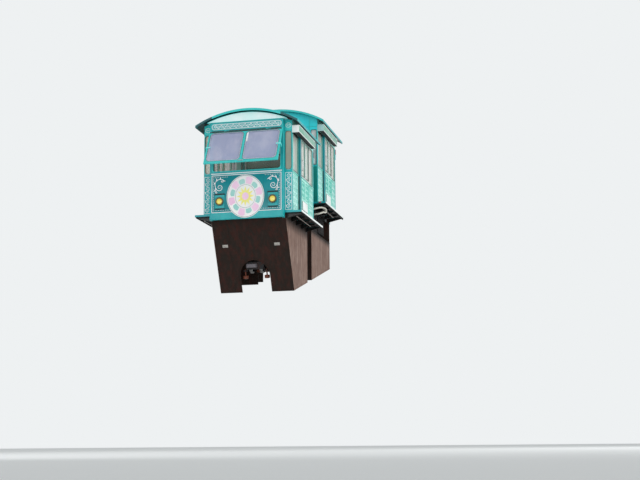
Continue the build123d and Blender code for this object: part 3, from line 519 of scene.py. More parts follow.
def walls_enamel(section):
    """The four walls' paint: teal ends, the inner ends lighter with painted sunlight, and mint sides whose
    pale paint also holds painted sunlight, each cream on the face that looks into the cabin.
    """
    # y in the middle of the outer and the inner end wall, and the side on which the outer face lies
    low = ORIGIN[section][1] / 1000
    ends, hand = (low + 0.04, low + 1.84), -1
    if section == "rear":
        ends, hand = ends[::-1], 1
    paints = {
        "outer_wall": ("end", TEAL, (1, ends[0], hand)),
        "inner_wall": ("inner_end", SUNLIT_TEAL, (1, ends[1], -hand)),
        "right_wall": ("door_side", SUNLIT_MINT, (0, 0.911, 1)),
        "left_wall": ("closed_side", SUNLIT_MINT, (0, -0.911, -1)),
    }
    return {
        f"{section}_{wall}": enamel(f"{section}_{name}_enamel", *tones, lining=(*plane, CREAM))
        for wall, (name, tones, plane) in paints.items()
    }


# Enamels, sprayed and stoved on sheet steel: an even skin with soft shine, chalky where the sun bleached it
teal_enamel = enamel("teal_gloss_enamel", *TEAL)
# Pale mint with painted sunlight, for the sides, the door and the side window frames
sunlit_mint_enamel = enamel("sunlit_mint_gloss_enamel", *SUNLIT_MINT)
# Panels a shade darker than the walls, so the white lines on them stand out
deep_enamel = enamel("deep_teal_enamel", "#0d8389", "#11909a", "#0a5f66", 0.4)
# Rims in a lighter teal, a painted highlight where they catch the sky and read as a light edge
highlight_enamel = enamel("highlight_teal_enamel", "#2cc2c0", "#46d0cc", TEAL[2], 0.3)
# The inner ends' low panels in a darker green teal, painted shade in the gap between the sections, and the
# stay tabs in pale cyan
shaded_panel_enamel = enamel("shaded_green_teal_enamel", "#118a82", "#1b978d", "#0a5f5c", 0.4)
tab_enamel = enamel("pale_cyan_tab_enamel", "#74e2e2", "#8deaea", "#3fb5b6", 0.2)
# Brushed lines of sign enamel, thick enough to show a raised edge
green_line = enamel("sea_green_line_enamel", "#16a999", "#25b9a8", "#0f7f72", 0.2, grain_mm=6)
white_line = enamel("white_line_enamel", "#f4eef0", "#fdf9f9", "#c3cdcb", 0.4, grain_mm=6)
# Gutters, rim tips and the shade lines under the windows are painted dark as shade
gutter_enamel = enamel("shaded_gutter_enamel", "#1b4f55", "#2a6468", "#0d2b2e", 0.5)
# The header box: grey-green sides and white edges, streaked from the roof's drip, and a greyer end on the
# rear section that is painted shade on the white
box_enamel = enamel("pale_green_box_enamel", "#649f88", "#75ae99", "#467b69", 0.5)
shaded_enamel = enamel("shaded_white_box_enamel", "#9cc6c6", "#aed2d0", "#6f9d9d", 0.4)
white_enamel = enamel("white_gloss_enamel", "#f3f6f4", "#e6efec", "#a9b8b4", 0.4)
# Near white with a breath of mint, bright under the dark roof edge
lunette_enamel = enamel("pale_mint_enamel", "#eeffff", "#cffbf9", "#a6e6e2", 0.25)
pale_field = enamel("pale_panel_enamel", "#b5ece3", "#d0f7f0", "#5fc9b6", 0.5)
# Roof sheets: bleached on top, dirt along each lap, and painted shade underneath
roof_enamel = enamel(
    "roof_teal_enamel", "#1aa9ae", "#30bcbe", "#0e6a70", 0.55, under="#14393c", laps=(-0.61, 0.5)
)
# Screen printed vinyl on the board: flat matt colours
print_white = enamel("board_white_print", "#f6f5f2", "#eceeed", "#d3d6d4", 0.2)
print_pink = enamel("board_pink_print", "#f1c4e2", "#f5d2ea", "#d8a9c8", 0.2)
print_mint = enamel("board_mint_print", "#93cfc8", "#a4d9d2", "#78b5ae", 0.2)
print_yellow = enamel("board_yellow_print", "#f0e878", "#f4ee94", "#d4ca60", 0.2)
print_grey = enamel("board_grey_line", "#868c96", "#979ca6", "#6a707a", 0.2)

# Brushed paint on the skirts' steel sheet: nearly black brown on the end plates
brown_paint = weathered(
    "brown_skirt_paint", "#251c17", "#44211b", "#443a33", (0.56, 0.85), 0.85, (0.65, 0.9), 0.2
)
# The same paint on the sides, lighter there as painted sunlight: a dusty red-brown with pale rain runs,
# black at the top in the floor's painted shadow
sunlit_brown = {}
for section, drop, depth in (("front", 0, 0.3), ("rear", 0.56, 0.16)):
    sunlit_brown[section] = weathered(
        f"{section}_faded_brown_skirt_paint", "#80675c", "#5b4137", "#c9b4a8", (0.52, 0.74), 0.9,
        (0.6, 0.85), 0.3, (ORIGIN[section][2] / 1000 - drop, depth, UNDERFLOOR_SHADOW),
    )
# Bitumen paint on the truck and under the floor: dull black with rust bleeding through
truck_paint = weathered(
    "dark_truck_paint", "#202225", "#4a2b1f", "#4a4744", (0.6, 0.85), 0.8, (0.5, 0.8), 0.3
)
under_paint = weathered(
    "sooty_underfloor_paint", "#16181a", "#2c1d17", "#2d2c2a", (0.6, 0.85), 0.85, (0.6, 0.85), 0.2
)

# Turned steel tyres, bare where they run and stained beside; cut gear steel dark with grease
wheel_steel = plain("worn_wheel_steel", "#8d8c8a", "#4b4440", 26, (0.28, 0.6), 0.85, bump=0.3)
gear_steel = plain("greased_gear_steel", "#5d5a57", "#2b2622", 18, (0.25, 0.5), 0.8, bump=0.3)
# Brushed stainless tube: long fine lines and a soft streak of light; the 3 mm grain is drawn coarse
bright_steel = plain(
    "brushed_stainless_steel", "#c4c6c8", "#a2a5a8", 3, (0.22, 0.38), 0.9, (1, 1, 30), bump=0.08
)
# Spun lamp ring, tarnished brown
dull_steel = plain("dull_lamp_ring_steel", "#4f4638", "#6f6248", 12, (0.35, 0.55), 0.6, bump=0.2)
# Rolled alloy sheet, dull and slightly blotched
bare_plate = plain("bare_alloy_plate", "#b5b0aa", "#8d8882", 16, (0.4, 0.6), 0.3)
# Painted steel pipe, off-white and chalky
pale_pipe = plain("pale_painted_steel_pipe", "#dcd9cc", "#bdbaae", 70, (0.35, 0.5), bump=0.03, coat=0.2)
# Cast polyurethane roller tyres: rust orange, scuffed matt
tread = plain("moulded_polyurethane", "#743318", "#4e2514", 14, (0.45, 0.7), bump=0.25)
# Extruded and moulded rubber: matt black seals, pale grey gaskets, a weathered pad
rubber = plain("black_rubber", "#1b1c1d", "#34383a", 20, (0.55, 0.8), bump=0.3)
pale_gasket = plain("pale_grey_gasket_rubber", "#c9cfe0", "#e6e9f2", 30, bump=0.1)
grey_rubber = plain("weathered_rubber_pad", "#6f6a70", "#514c50", 24, (0.6, 0.85), bump=0.4)
# Toughened glass, with the sky's reflection painted into its tint: lilac on the windscreen, a warm pale haze
# on the sides, a dimmer one at the ends
screen_glass = pane("windscreen_glass", "#adb5d8", "#c9cbe6", 0.64)
HAZE, FILM, WARM_END = "#fbf8f0", "#ecebe1", "#ddd2bf"
side_glass = pane("side_window_glass", HAZE, FILM, 0.52, [(-0.92, WARM_END), (0.92, "#8b9484")])
uphill_glass = pane("uphill_window_glass", HAZE, FILM, 0.52, [(1.395, "#ffffff"), (3.235, WARM_END)])
# Pressed lamp glass, deep yellow and red with a wet shine
lens_glass = plain("yellow_lamp_glass", "#e8cf24", "#f3e15c", 9, (0.1, 0.2), bump=0.3, coat=0.8)
red_lens = plain("red_lamp_glass", "#c4202a", "#d8404a", 8, (0.12, 0.22), bump=0.3, coat=0.8)
# Planed and varnished oak: long grain, warm, with a worn shine
oak = plain("varnished_oak", "#a9743c", "#7d4f24", 14, (0.28, 0.45), 0.0, (1, 14, 1), 0.25, coat=0.4)
# Bench boxes in brushed grey paint, and a welded vinyl floor with specks
bench_paint = plain("grey_bench_paint", "#7e8684", "#6c7473", 40, (0.45, 0.6), bump=0.1)
vinyl_floor = plain("speckled_floor_vinyl", "#8d918a", "#a5a89f", 9, (0.5, 0.7), bump=0.2)
# Pressed laminate, smooth and creamy; the desk is moulded plastic with a fine leathery grain
laminate = plain("cream_ceiling_laminate", CREAM, "#f3efe3", 60, (0.4, 0.55), bump=0.05)
desk_grey = plain("moulded_desk_plastic", "#4a5052", "#5c6264", 5, (0.45, 0.6), bump=0.3)
# Opal acrylic lamp cover, lit from within
glow = {"Emission_Color": linear("#fff1da"), "Emission_Strength": 2.4}
lit_tube = plain("lit_lamp_cover", "#fff6e6", "#fffaf0", 40, (0.4, 0.5), bump=0.02, **glow)

# The record's slot for each finish of a piece; a piece that differs names its own
SLOTS = {
    "teal_paint": (
        teal_enamel, deep_enamel, highlight_enamel, shaded_panel_enamel, tab_enamel, green_line, gutter_enamel,
    ),
    "white_panel": (
        white_line, white_enamel, shaded_enamel, lunette_enamel, pale_gasket, print_white, laminate,
        lit_tube,
    ),
    "pale_paint": (sunlit_mint_enamel, pale_field, box_enamel),
    "brown_paint": (brown_paint, *sunlit_brown.values()),
    "dark_steel": (under_paint, truck_paint),
    "bare_steel": (bright_steel, bare_plate, wheel_steel, pale_pipe),
    "black_rubber": (rubber, grey_rubber, vinyl_floor),
    "lamp_glass": (dull_steel, lens_glass, red_lens),
    "seat_vinyl": (oak,),
}
SLOT_OF = {finish.name: slot for slot, finishes in SLOTS.items() for finish in finishes}

# Finish of each CAD node, by its name without the section
NODE_FINISH = {
    # The sash's lighter teal is a painted highlight
    "roof": roof_enamel, "windscreen_sash": highlight_enamel, "windscreen_glass": screen_glass,
    # The door's pale mint holds painted sunlight
    "door": sunlit_mint_enamel, "door_glass": side_glass, "door_box": white_enamel, "fittings": bright_steel,
    "headlamps": deep_enamel, "skirt_ends": brown_paint, "desk": desk_grey, "display_board": print_white,
    "legs": truck_paint, "truck_frame": truck_paint, "drive_unit": truck_paint, "drive_pinion": gear_steel,
    "coupling_bar": truck_paint, "coupling_fork": truck_paint, "buffer": grey_rubber,
    "equipment": under_paint,
}
for section in SECTIONS:
    NODE_FINISH.update(walls_enamel(section))
    NODE_FINISH[f"{section}_skirt_sides"] = sunlit_brown[section]
    NODE_FINISH[f"{section}_glazing"] = side_glass if section == "front" else uphill_glass
    # Painted shade below: dark on what faces down and on all under the plate; teal on the edges, and a white
    # lip along the outer edge as a painted highlight
    NODE_FINISH[f"{section}_floor"] = enamel(
        f"{section}_floor_edge_enamel", "#149da5", "#24aab0", "#0e6a70", 0.4, under=FLOOR_SHADE,
        lining=(2, ORIGIN[section][2] / 1000 - 0.001, 1, FLOOR_SHADE), brim=(1.1435, "#eef4f2"),
    )
for name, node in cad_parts.items():
    kind = name.split("_", 1)[1]
    if "axle" in kind:
        finish = wheel_steel
    elif "guide" in kind:
        finish = tread
    else:
        finish = NODE_FINISH.get(name) or NODE_FINISH[kind]  # a section's own finish comes first
    node.data.materials.clear()
    node.data.materials.append(finish)
    if kind == "fittings":  # poles stay steel; the benches' large faces are painted
        node.data.materials.append(bench_paint)
        for face in node.data.polygons:
            face.material_index = int(face.area > 0.03)


# Outer ends

# Roof circle: half chord, rise, crown height and the shell's thickness
ROOF_REACH, ROOF_RISE, ROOF_CROWN, ROOF_SHEET = 1107.0, 302.0, 2222.0, 36.0
# Corner ornament: middle, radius, turns, first angle and hand of each scroll
SCROLLS = (
    ((575, 572), 84, 1.6, 0, -1), ((520, 704), 36, 1.3, np.pi / 2, 1), ((640, 470), 26, 1.2, np.pi / 2, -1),
)
# Stems of the corner ornament: one over the large scroll, one down to the small one
STEMS = (
    [(659, 572), (674, 636), (652, 700), (592, 742), (520, 740)],
    [(659, 572), (668, 530), (664, 508), (640, 496)],
)
# Foot, angle and size of each leaf on the stems
LEAVES = (
    ((676, 640), 0.9, 58), ((640, 715), 1.4, 56), ((575, 745), 2.1, 50), ((664, 520), -0.9, 46),
    ((486, 716), 3.3, 44),
)
# Radius and distance along the lamp's axis: a spun ring, and a pressed lens with ribs
LAMP_RING = [
    (80, -12), (80, -22), (86, -24), (86, -46), (82, -51), (67, -51), (62, -46), (61, -36), (30, -36),
]
LAMP_LENS = [
    (61, -40), (60, -42), (54, -46), (49, -45.5), (42, -48.5), (36, -48), (27, -50.5), (20, -50),
    (10, -51.5), (1, -51.5),
]


def roof_line(x, drop=0.0):
    """Height of the roof's underside at x: the shell's inner circle, lowered by drop."""
    radius = (ROOF_REACH**2 + ROOF_RISE**2) / (2 * ROOF_RISE)
    return ROOF_CROWN - radius + np.sqrt((radius - ROOF_SHEET) ** 2 - np.asarray(x, float) ** 2) - drop


def bay_panel(section):
    """The bay's lower panel, a darker field in a white line with scrolls and studs, and the header."""
    face = end_face(section, -BAY_OUT)
    fit(section, "bay_field", [sheet(between(-735, 735, 50, 822, 8), face)], deep_enamel)
    lines = [carry(between(-739, 739, 47, 825, 8), 13, 5, face), level(-760, 760, 862, 16, 7, face)]
    fit(section, "bay_lines", lines, white_line)
    shells = []
    for side in (-1, 1):
        flip = np.array([side, 1])
        for middle, *winding in SCROLLS:
            path, taper = scroll(middle, *winding)
            shells.append(carry(path * flip, 16, 3, face, False, RIDGE, taper, 1.3))
        shells += [carry(bend(np.array(stem) * flip), 13, 3, face, False, RIDGE, lift=1.3) for stem in STEMS]
        for foot, angle, size in LEAVES:
            turn = angle if side > 0 else np.pi - angle - 0.7
            shells.append(leaf(np.array(foot) * flip, turn, size, face, 3, 1.3))
    fit(section, "bay_scrolls", shells, white_line)

    # A row of studs inside the panel's line, left out behind the board
    spots = [(x, z) for z in (88, 787) for x in np.arange(-703, 704, 37)]
    spots += [(x, z) for x in (-703, 703) for z in np.arange(125, 760, 37)]
    studs = [face.spot(x, z, 1.2) for x, z in spots if abs(x) > 380 or z < 300]
    fit(section, "bay_studs", bolts(studs, face.axes[2], face.place, 7.5, 3.5), white_line)

    # Header: two white lines with round ends, and a running scroll in them
    header = [carry(between(-748, 748, 1810, 1922, 52, 10), 9, 4, face)]
    header += vine((-706, 1866), (706, 1866), 22, 34, face, 9, 3)
    header.append(carry(between(-732, 732, 1824, 1908, 40, 10), 5, 3, face))
    fit(section, "header_scrolls", header, white_line)


def lunette(section):
    """A pale arched fascia under the roof, in a rim of painted highlight, with a black strip over it as
    painted shadow of the roof's edge.
    """
    wing = end_face(section, 0)
    x = np.linspace(-858, 858, 41)
    arched = np.concatenate([np.stack([x, roof_line(x, 34)], -1), [(858, 1968), (-858, 1968)]])
    fit(section, "lunette_panel", [plate(arched, -1, 96, wing, 2)], lunette_enamel)
    fit(section, "lunette_rim", [carry(arched, 9, 6, end_face(section, -94), profile=STRIP)], highlight_enamel)
    # A black strip along the roof's underside: painted shadow of the roof's edge
    x = np.linspace(-946, 946, 41)
    gap = carry(np.stack([x, roof_line(x, 19)], -1), 34, 5, wing, False, STRIP)
    fit(section, "lunette_shadow_strip", [gap], rubber)


def screen_surround(section):
    """The windscreen opening's round-cornered frame, a black strip over it as painted shadow under the
    header, and rounded strips round the bay.
    """
    face = end_face(section, -BAY_OUT)
    left, right, low, high = SCREEN
    around = between(left - 3, right + 3, low - 3, high + 3, 0.5)
    rim = [border(around, between(left + 7, right - 7, low + 10, high - 10, 62), -36, 2.5, face)]
    rim.append(carry(between(left + 2, right - 2, low + 4, high - 4, 60), 12, 3.5, face))
    # The opening's rim in lighter teal: painted highlight
    fit(section, "screen_rim", rim, highlight_enamel)
    # A black strip over the opening: painted shadow under the header
    fit(section, "sash_shadow_strip", [level(-742, 742, 1768, 22, 4, face)], rubber)
    edges = [upright(s * 776, -100, 1951, 20, 4, face) for s in (-1, 1)]
    fit(section, "bay_edges", edges + [level(-776, 776, -96, 18, 4, face)], teal_enamel)


def wings(section):
    """The wings beside the bay: window seal, panel below in a white line with a vine, and an oval above on a
    lighter teal plate, painted light where the roof shades the wing's head.
    """
    face = end_face(section, 0)
    seals, lines, fields, frames, heads, feet = [], [], [], [], [], []
    for x in (-WING_X, WING_X):
        window, panel, head = (x, 1308), (x, 446), (x, 1838)
        # A lighter teal plate on each wing's head: painted light where the roof's overhang casts shade
        heads.append(sheet(loop(146, 196, 6, (x, 1839)), face))
        seals.append(carry(loop(124, 812, 46, window), 9, 5, face, profile=SEAL))
        feet.append(level(x - 34, x + 34, 898, 7, 6.5, face, BEAD))
        frames.append(border(loop(148, 838, 54, window), loop(128, 816, 46, window), -0.5, 4, face))
        fields.append(sheet(loop(134, 770, 8, panel), face))
        lines.append(carry(loop(136, 772, 8, panel), 9, 4, face))
        lines += vine((x, 84), (x, 808), 8, 48, face, 11, 3, 1.0)
        lines.append(carry(oval(57, 46, head), 8, 4, face))
        for s in (-1, 1):
            path = scroll((x + s * 20, 1838), 22, 1.3, np.pi * (s < 0), s)[0]
            lines.append(carry(path, 6, 3, face, False))
    fit(section, "wing_seals", seals, rubber)
    fit(section, "wing_foot_gaskets", feet, pale_gasket)
    fit(section, "wing_frames", frames + heads, highlight_enamel)
    fit(section, "wing_fields", fields, teal_enamel)
    fit(section, "wing_lines", lines, white_line)


def headlamps(section):
    """A housing with a black block above and below as painted shadow gap, a dull ring and a ribbed yellow
    lens on each side.
    """
    face = end_face(section, -BAY_OUT)
    rings, lenses, shadow_blocks, shells = [], [], [], []
    for x in (-LAMP_X, LAMP_X):
        middle, origin = (x, LAMP_Z), (x, -BAY_OUT, LAMP_Z)
        shells.append(plate(loop(200, 300, 14, middle), -1, 14, face, 2))
        shells.append(border(loop(196, 268, 12, middle), loop(174, 186, 8, middle), 12, 19, face))
        rings.append(turned(LAMP_RING, origin, (0, 1, 0), face.place, 40))
        lenses.append(turned(LAMP_LENS, origin, (0, 1, 0), face.place, 40))
        for half, deep, low, high in ((108, 34, 142, 164), (104, 20, -164, -144)):
            corner = (x - half, -BAY_OUT - deep, LAMP_Z + low)
            shadow_blocks.append(brick(corner, (x + half, -BAY_OUT, LAMP_Z + high), face.place))
    housing = fit(section, "lamp_housings", shells, teal_enamel)
    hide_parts(f"{section}_headlamps")
    fit(section, "lamp_rings", rings, dull_steel)
    fit(section, "lamp_lenses", lenses, lens_glass)
    fit(section, "lamp_shadow_blocks", shadow_blocks, rubber)


def sash_trim(section):
    """Round-cornered rims, seals and gaskets of the windscreen's panes, its edge strip and fittings."""
    face = sash_face(section, -149)
    seals, rims, gaskets = [], [], []
    for side in (-1, 1):
        outline = lambda grow, radius: loop(PANE_W + grow, PANE_H + grow, radius, (side * PANE_X, PANE_Z), 8)
        rims.append(border(outline(16, 40), outline(-4, 74), -12, 3.5, face))
        seals.append(carry(outline(-2, 74), 11, 4.5, face, profile=SEAL))
        gaskets.append(carry(outline(-22, 66), 8, 2.5, face))
    rims.append(carry(between(-781, 781, SASH_LOW + 16, SASH_TOP - 6, 6), 9, 4, face))
    fit(section, "sash_seals", seals, rubber, "sash")
    fit(section, "sash_gaskets", gaskets, pale_gasket, "sash")
    # Pane rims in lighter teal: painted highlight
    fit(section, "sash_rims", rims, highlight_enamel, "sash")
    tabs = pair((702, -159, 1290), (800, -148, 1328), face.place, 4)
    fit(section, "sash_tabs", tabs, tab_enamel, "sash")
    fit(section, "sash_top_seal", [level(-772, 772, SASH_TOP - 19, 27, 4.5, face)], rubber, "sash")
    pulls = [brick((-60, -157, 904), (60, -148, 922), face.place, 3)]
    pulls += bolts([(s * x, -158, 1310) for s in (-1, 1) for x in (742, 782)], (0, -1, 0), face.place, 7, 4)
    fit(section, "sash_pull", pulls, bright_steel, "sash", "white_panel")
    strip = [plate(between(44, 70, 1430, 1668, 6), -14, 1, face, 1)]
    fit(section, "sash_blank_strip", strip, print_white, "sash")


# Sides and the inner ends

SILL, WINDOW_TOP, DOOR_WINDOW_TOP = 900, 1716, 1655
# Waist, from the top: the shade line under the windows, the rail, the coloured band and the lower bead
SHADE, RAIL, BAND, LOW_BEAD = 891, 878, 862, 846
# By side: the windows, the panels under them, and the runs of wall that take the mouldings
WINDOWS = {1: [(70, 470), (1300, 1800)], -1: [(70, 470), (610, 895), (945, 1230), (1300, 1800)]}
BAYS = {1: [(40, 480), (1290, 1840)], -1: [(40, 520), (560, 900), (940, 1250), (1290, 1840)]}
RUNS = {1: [(0, 506), (1262, LENGTH)], -1: [(0, LENGTH)]}
# The leaf's two edges, and its windows
DOOR = (590, 1250)
DOOR_WINDOWS = [(610, 895), (945, 1230)]
# Header box over the door: foot, top, reach past the wall, and length
BOX_LOW, BOX_TOP, BOX_OUT, BOX_L = 1675, 1828, 149, 1450


def window_trim(panes, high, face, radius=26):
    """Seals with round corners inside square openings, and the corner fillets that they need."""
    seals, frames = [], []
    for a, b in panes:
        seals.append(carry(between(a + 2, b - 2, SILL + 2, high - 2, radius), 10, 5, face, profile=SEAL))
        around = between(a - 9, b + 9, SILL - 9, high + 9, 12)
        within = between(a + 1, b - 1, SILL + 1, high - 1, radius)
        frames.append(border(around, within, -0.5, 3.5, face))
    return seals, frames


def panelling(bays, face, vines=True):
    """Sunk panels outlined in a line, with upright running scrolls side by side in each."""
    low, high = 70, 830
    fields = [sheet(between(a, b, low, high, 8), face, 1.2) for a, b in bays]
    lines = []
    for a, b in bays:
        lines.append(carry(between(a + 5, b - 5, low + 5, high - 5, 8), 9, 4, face))
        count = max(1, round((b - a) / 150))
        room = (b - a - 24) / count
        waves = max(3, round((high - low - 40) / (room * 0.86)))
        for k in range(count if vines else 0):
            x = a + 12 + room * (k + 0.5)
            lines += vine((x, low + 22), (x, high - 22), waves, room * 0.42, face, 13, 3, 1.0)
    return fields, lines


def side(section, x):
    """One side wall: window trim, waist mouldings, panels and ornament."""
    face, name = side_face(section, x * HALF), "door_side" if x > 0 else "closed_side"
    seals, frames = window_trim(WINDOWS[x], WINDOW_TOP, face)
    fit(section, f"{name}_seals", seals, rubber)
    fields, lines = panelling(BAYS[x], face)
    under = []
    for a, b in RUNS[x]:
        frames += [level(a, b, RAIL, 16, 8, face, BEAD), level(a, b, LOW_BEAD, 9, 5, face, BEAD)]
        lines += [level(a, b, BAND, 15, 3, face), level(a, b, 50, 14, 4, face)]
        under.append(level(a, b, SHADE, 7, 5, face))
    # Frames and waist beads in the sides' pale mint, which holds painted sunlight
    fit(section, f"{name}_window_frames", frames, sunlit_mint_enamel)
    fit(section, f"{name}_panel_lines", lines, green_line)
    fit(section, f"{name}_waist_shade", under, gutter_enamel)
    strips = [upright(y, 44, 1674, 22, 4, face) for y in (12, LENGTH - 12)]
    fit(section, f"{name}_corner_strips", strips, teal_enamel)
    fit(section, f"{name}_fields", fields, pale_field)
    if x < 0:
        rail = [level(0, LENGTH, 1752, 60, 6, face), level(0, LENGTH, 1800, 12, 8, face, BEAD)]
        fit(section, f"{name}_top_rail", rail, teal_enamel)


def door_leaf(section):
    """The sliding door's seals, frames, ornament, kick panel, edge rubbers and grip."""
    face, sunk = side_face(section, DOOR_OUT), side_face(section, DOOR_OUT - 6)
    seals, frames = window_trim(DOOR_WINDOWS, DOOR_WINDOW_TOP, face)
    fit(section, "door_seals", seals, rubber, "door_leaf")
    frames.append(level(*DOOR, RAIL, 16, 8, face, BEAD))
    fit(section, "door_window_frames", frames, white_enamel, "door_leaf")
    lines = []
    for a, b in DOOR_WINDOWS:
        lines.append(carry(between(a + 20, b - 20, 430, 790, 8), 9, 6, sunk))
        for u in (a + (b - a) * 0.29, a + (b - a) * 0.71):
            lines += vine((u, 448), (u, 772), 3, 46, sunk, 13, 4)
    lines += [carry(between(*DOOR, 52, 850, 6), 9, 4, face), level(*DOOR, BAND + 1, 10, 4, face)]
    fit(section, "door_lines", lines, green_line, "door_leaf")
    kick = between(700, 1140, 180, 370, 14)
    fit(section, "door_kick_panel", [plate(kick, -0.5, 9, sunk, 2)], white_enamel, "door_leaf")
    edges = [carry(kick, 8, 9.5, sunk)]
    edges += [upright(y, 60, 1640, 6, 3, face, BEAD) for y in (DOOR[0] - 3, DOOR[1] + 3)]
    # A black strip on the shade line under the windows: painted shade
    edges.append(level(*DOOR, SHADE, 9, 5.5, face))
    fit(section, "door_edge_rubbers", edges, rubber, "door_leaf")
    bow = [(997, 1010), (1020, 1016), (1030, 1040), (1030, 1200), (1020, 1224), (997, 1230)]
    grip = [pipe(bend([(x, 626, z) for x, z in bow]), 8, face.place)]
    for z in (1010, 1230):
        grip.append(turned([(16, 0), (16, 3), (12, 6)], (DOOR_OUT, 626, z), (1, 0, 0), face.place, 20))
    fit(section, "door_grip", grip, bright_steel, "door_leaf")


def door_surround(section):
    """The post that the door closes against, the header box, and the lamp past the open door's end."""
    place = lambda P: at(section, P)
    fit(section, "door_post_sheath", [brick((951, 508, 42), (998, 582, 1766), place, 4)], deep_enamel)
    fit(section, "door_post_rubber", [brick((951, 502, 44), (974, 516, 862), place, 3)], rubber)

    # Header box: a pale face in bright lines, a white end (grey teal, as painted shade, on the rear
    # section), and black strips over and under it as painted shade
    out = HALF + BOX_OUT
    face = side_face(section, out)
    cover = plate(between(2, BOX_L - 2, BOX_LOW + 2, BOX_TOP - 2, 5), -0.5, 1.5, face, 1)
    fit(section, "door_box_face", [cover], box_enamel)
    lines = [level(0, BOX_L, BOX_LOW + 9, 16, 4, face), level(0, BOX_L, BOX_TOP - 7, 12, 4, face)]
    lines += [upright(y, BOX_LOW + 16, BOX_TOP - 12, 5, 2.5, face, BEAD) for y in (480, 965, BOX_L - 8)]
    fit(section, "door_box_lines", lines, white_enamel)
    end = brick((952, -3, BOX_LOW + 3), (1096, 1, BOX_TOP - 3), place, 6)
    # The rear section's box end in grey teal: painted shade
    fit(section, "door_box_end", [end], white_enamel if section == "front" else shaded_enamel)
    shade_strips = [brick((950, 12, BOX_LOW - 16), (957, BOX_L, BOX_LOW + 30), place, 2)]
    shade_strips.append(brick((1007, 4, BOX_LOW - 5), (out - 3, BOX_L - 4, BOX_LOW + 6), place, 2))
    fit(section, "door_box_shadow_strips", shade_strips, rubber)

    # Marker lamp on the uphill corner: red over white in a teal shell
    shell = brick((918, LENGTH - 2, 1452), (962, LENGTH + 22, 1708), place, 5)
    fit(section, "marker_shell", [shell], teal_enamel)
    for name, low, high, finish in (("red", 1584, 1700, red_lens), ("white", 1460, 1576, print_white)):
        lamp = brick((922, LENGTH + 4, low), (970, LENGTH + 26, high), place, 5)
        fit(section, f"marker_{name}", [lamp], finish)


def inner_end(section):
    """Window trim and panels of the wall that faces the other section."""
    face = inner_face(section)
    seals, frames = window_trim([(-707, 707), (804.5, 932.5), (-932.5, -804.5)], WINDOW_TOP, face, 30)
    fit(section, "inner_end_seals", seals, rubber)
    fields, lines = panelling([(-720, -380), (-350, 350), (380, 720)], face, vines=False)
    lines += [level(-940, 940, 872, 16, 7, face, BEAD), level(-940, 940, 1790, 14, 6, face, BEAD)]
    lines += [upright(s * 770, 60, 1980, 18, 5, face) for s in (-1, 1)]
    # Frames and lines in lighter teal: painted highlight
    fit(section, "inner_end_frames", frames + lines, highlight_enamel)
    fit(section, "inner_end_fields", fields, teal_enamel)
    # Low panels beside the windows in darker green teal: painted shade
    low = [sheet(between(a, b, 44, 858, 10), face) for a, b in ((784, 944), (-944, -784))]
    fit(section, "inner_end_low_panels", low, shaded_panel_enamel)


# Roof, floor and cabin

# Along y: the roof's rim over the bay, and the rim that faces the other section
BAY_RIM, INNER_RIM = (-153, -132), (1955, 1973)


def arc_band(section, reach, y0, y1, lift=-9, thick=44.7):
    """A curved sheet on the roof's circle from y0 to y1: closed rectangle section, swept over the reach."""
    x = np.linspace(*reach, 49)
    corners = ((y0, 0), (y0, thick), (y1, thick), (y1, 0))
    rows = [np.stack([x, np.full(len(x), y), roof_line(x) + lift + extra], -1) for y, extra in corners]
    return grid(at(section, np.stack(rows, 1), True))


def roof_trim(section):
    """Rims at both ends, gutters with rivets along the eaves, and the ceiling inside."""
    place = lambda P: at(section, P, True)
    rims = [arc_band(section, (-740, 740), *BAY_RIM), arc_band(section, (-1100, 1100), *INNER_RIM)]
    # Roof rims in lighter teal: painted highlight
    fit(section, "roof_rims", rims, highlight_enamel)
    tips = [arc_band(section, reach, *BAY_RIM) for reach in ((-1100, -740.5), (740.5, 1100))]
    # Rim tips at the eaves' ends painted dark: painted shade
    fit(section, "roof_rim_tips", tips, gutter_enamel)
    fit(section, "ceiling", [arc_band(section, (-905, 905), 43, 1837, -7, 4)], laminate)
    gutters = []
    for s in (-1, 1):
        gutters.append(brick((s * 1088, -146, 1868), (s * 1104, 1966, 1886), place, 5))
        for y in np.linspace(-100, 1930, 24):
            gutters.append(turned([(7, -1), (7, 3), (3, 5)], (s * 1107, y, 1902), (s, 0, 0), place, 6))
    # Gutters painted dark: painted shade under the eaves
    fit(section, "roof_gutters", gutters, gutter_enamel)


def floor_trim(section):
    """Ribbed nosings on the steps, edge angles, floor covering, and stiffeners below."""
    place = lambda P: at(section, P)
    nosing = [brick((x, 590, 39), (x + 7, 1250, 43), place, 1.5) for x in range(1080, 1137, 14)]
    nosing += pair((1122, 4, 38), (1145, 1926, 42), place, 1.5)
    fit(section, "step_nosing", nosing, bright_steel)
    treads = [brick((a, 30, 39), (b, 1900, 42), place, 1.5) for a, b in ((1034, 1078), (-1130, -970))]
    fit(section, "step_tread", treads, rubber)
    fit(section, "floor_covering", [brick((-908, 42, 39.5), (908, 1838, 42), place, 1)], vinyl_floor)
    fit(section, "step_angles", pair((1104, 20, -24), (1130, 1906, 1), place, 4), under_paint)
    fit(section, "step_gusset_bars", pair((986, 160, -62), (1006, 1410, -54), place, 2), bare_plate)


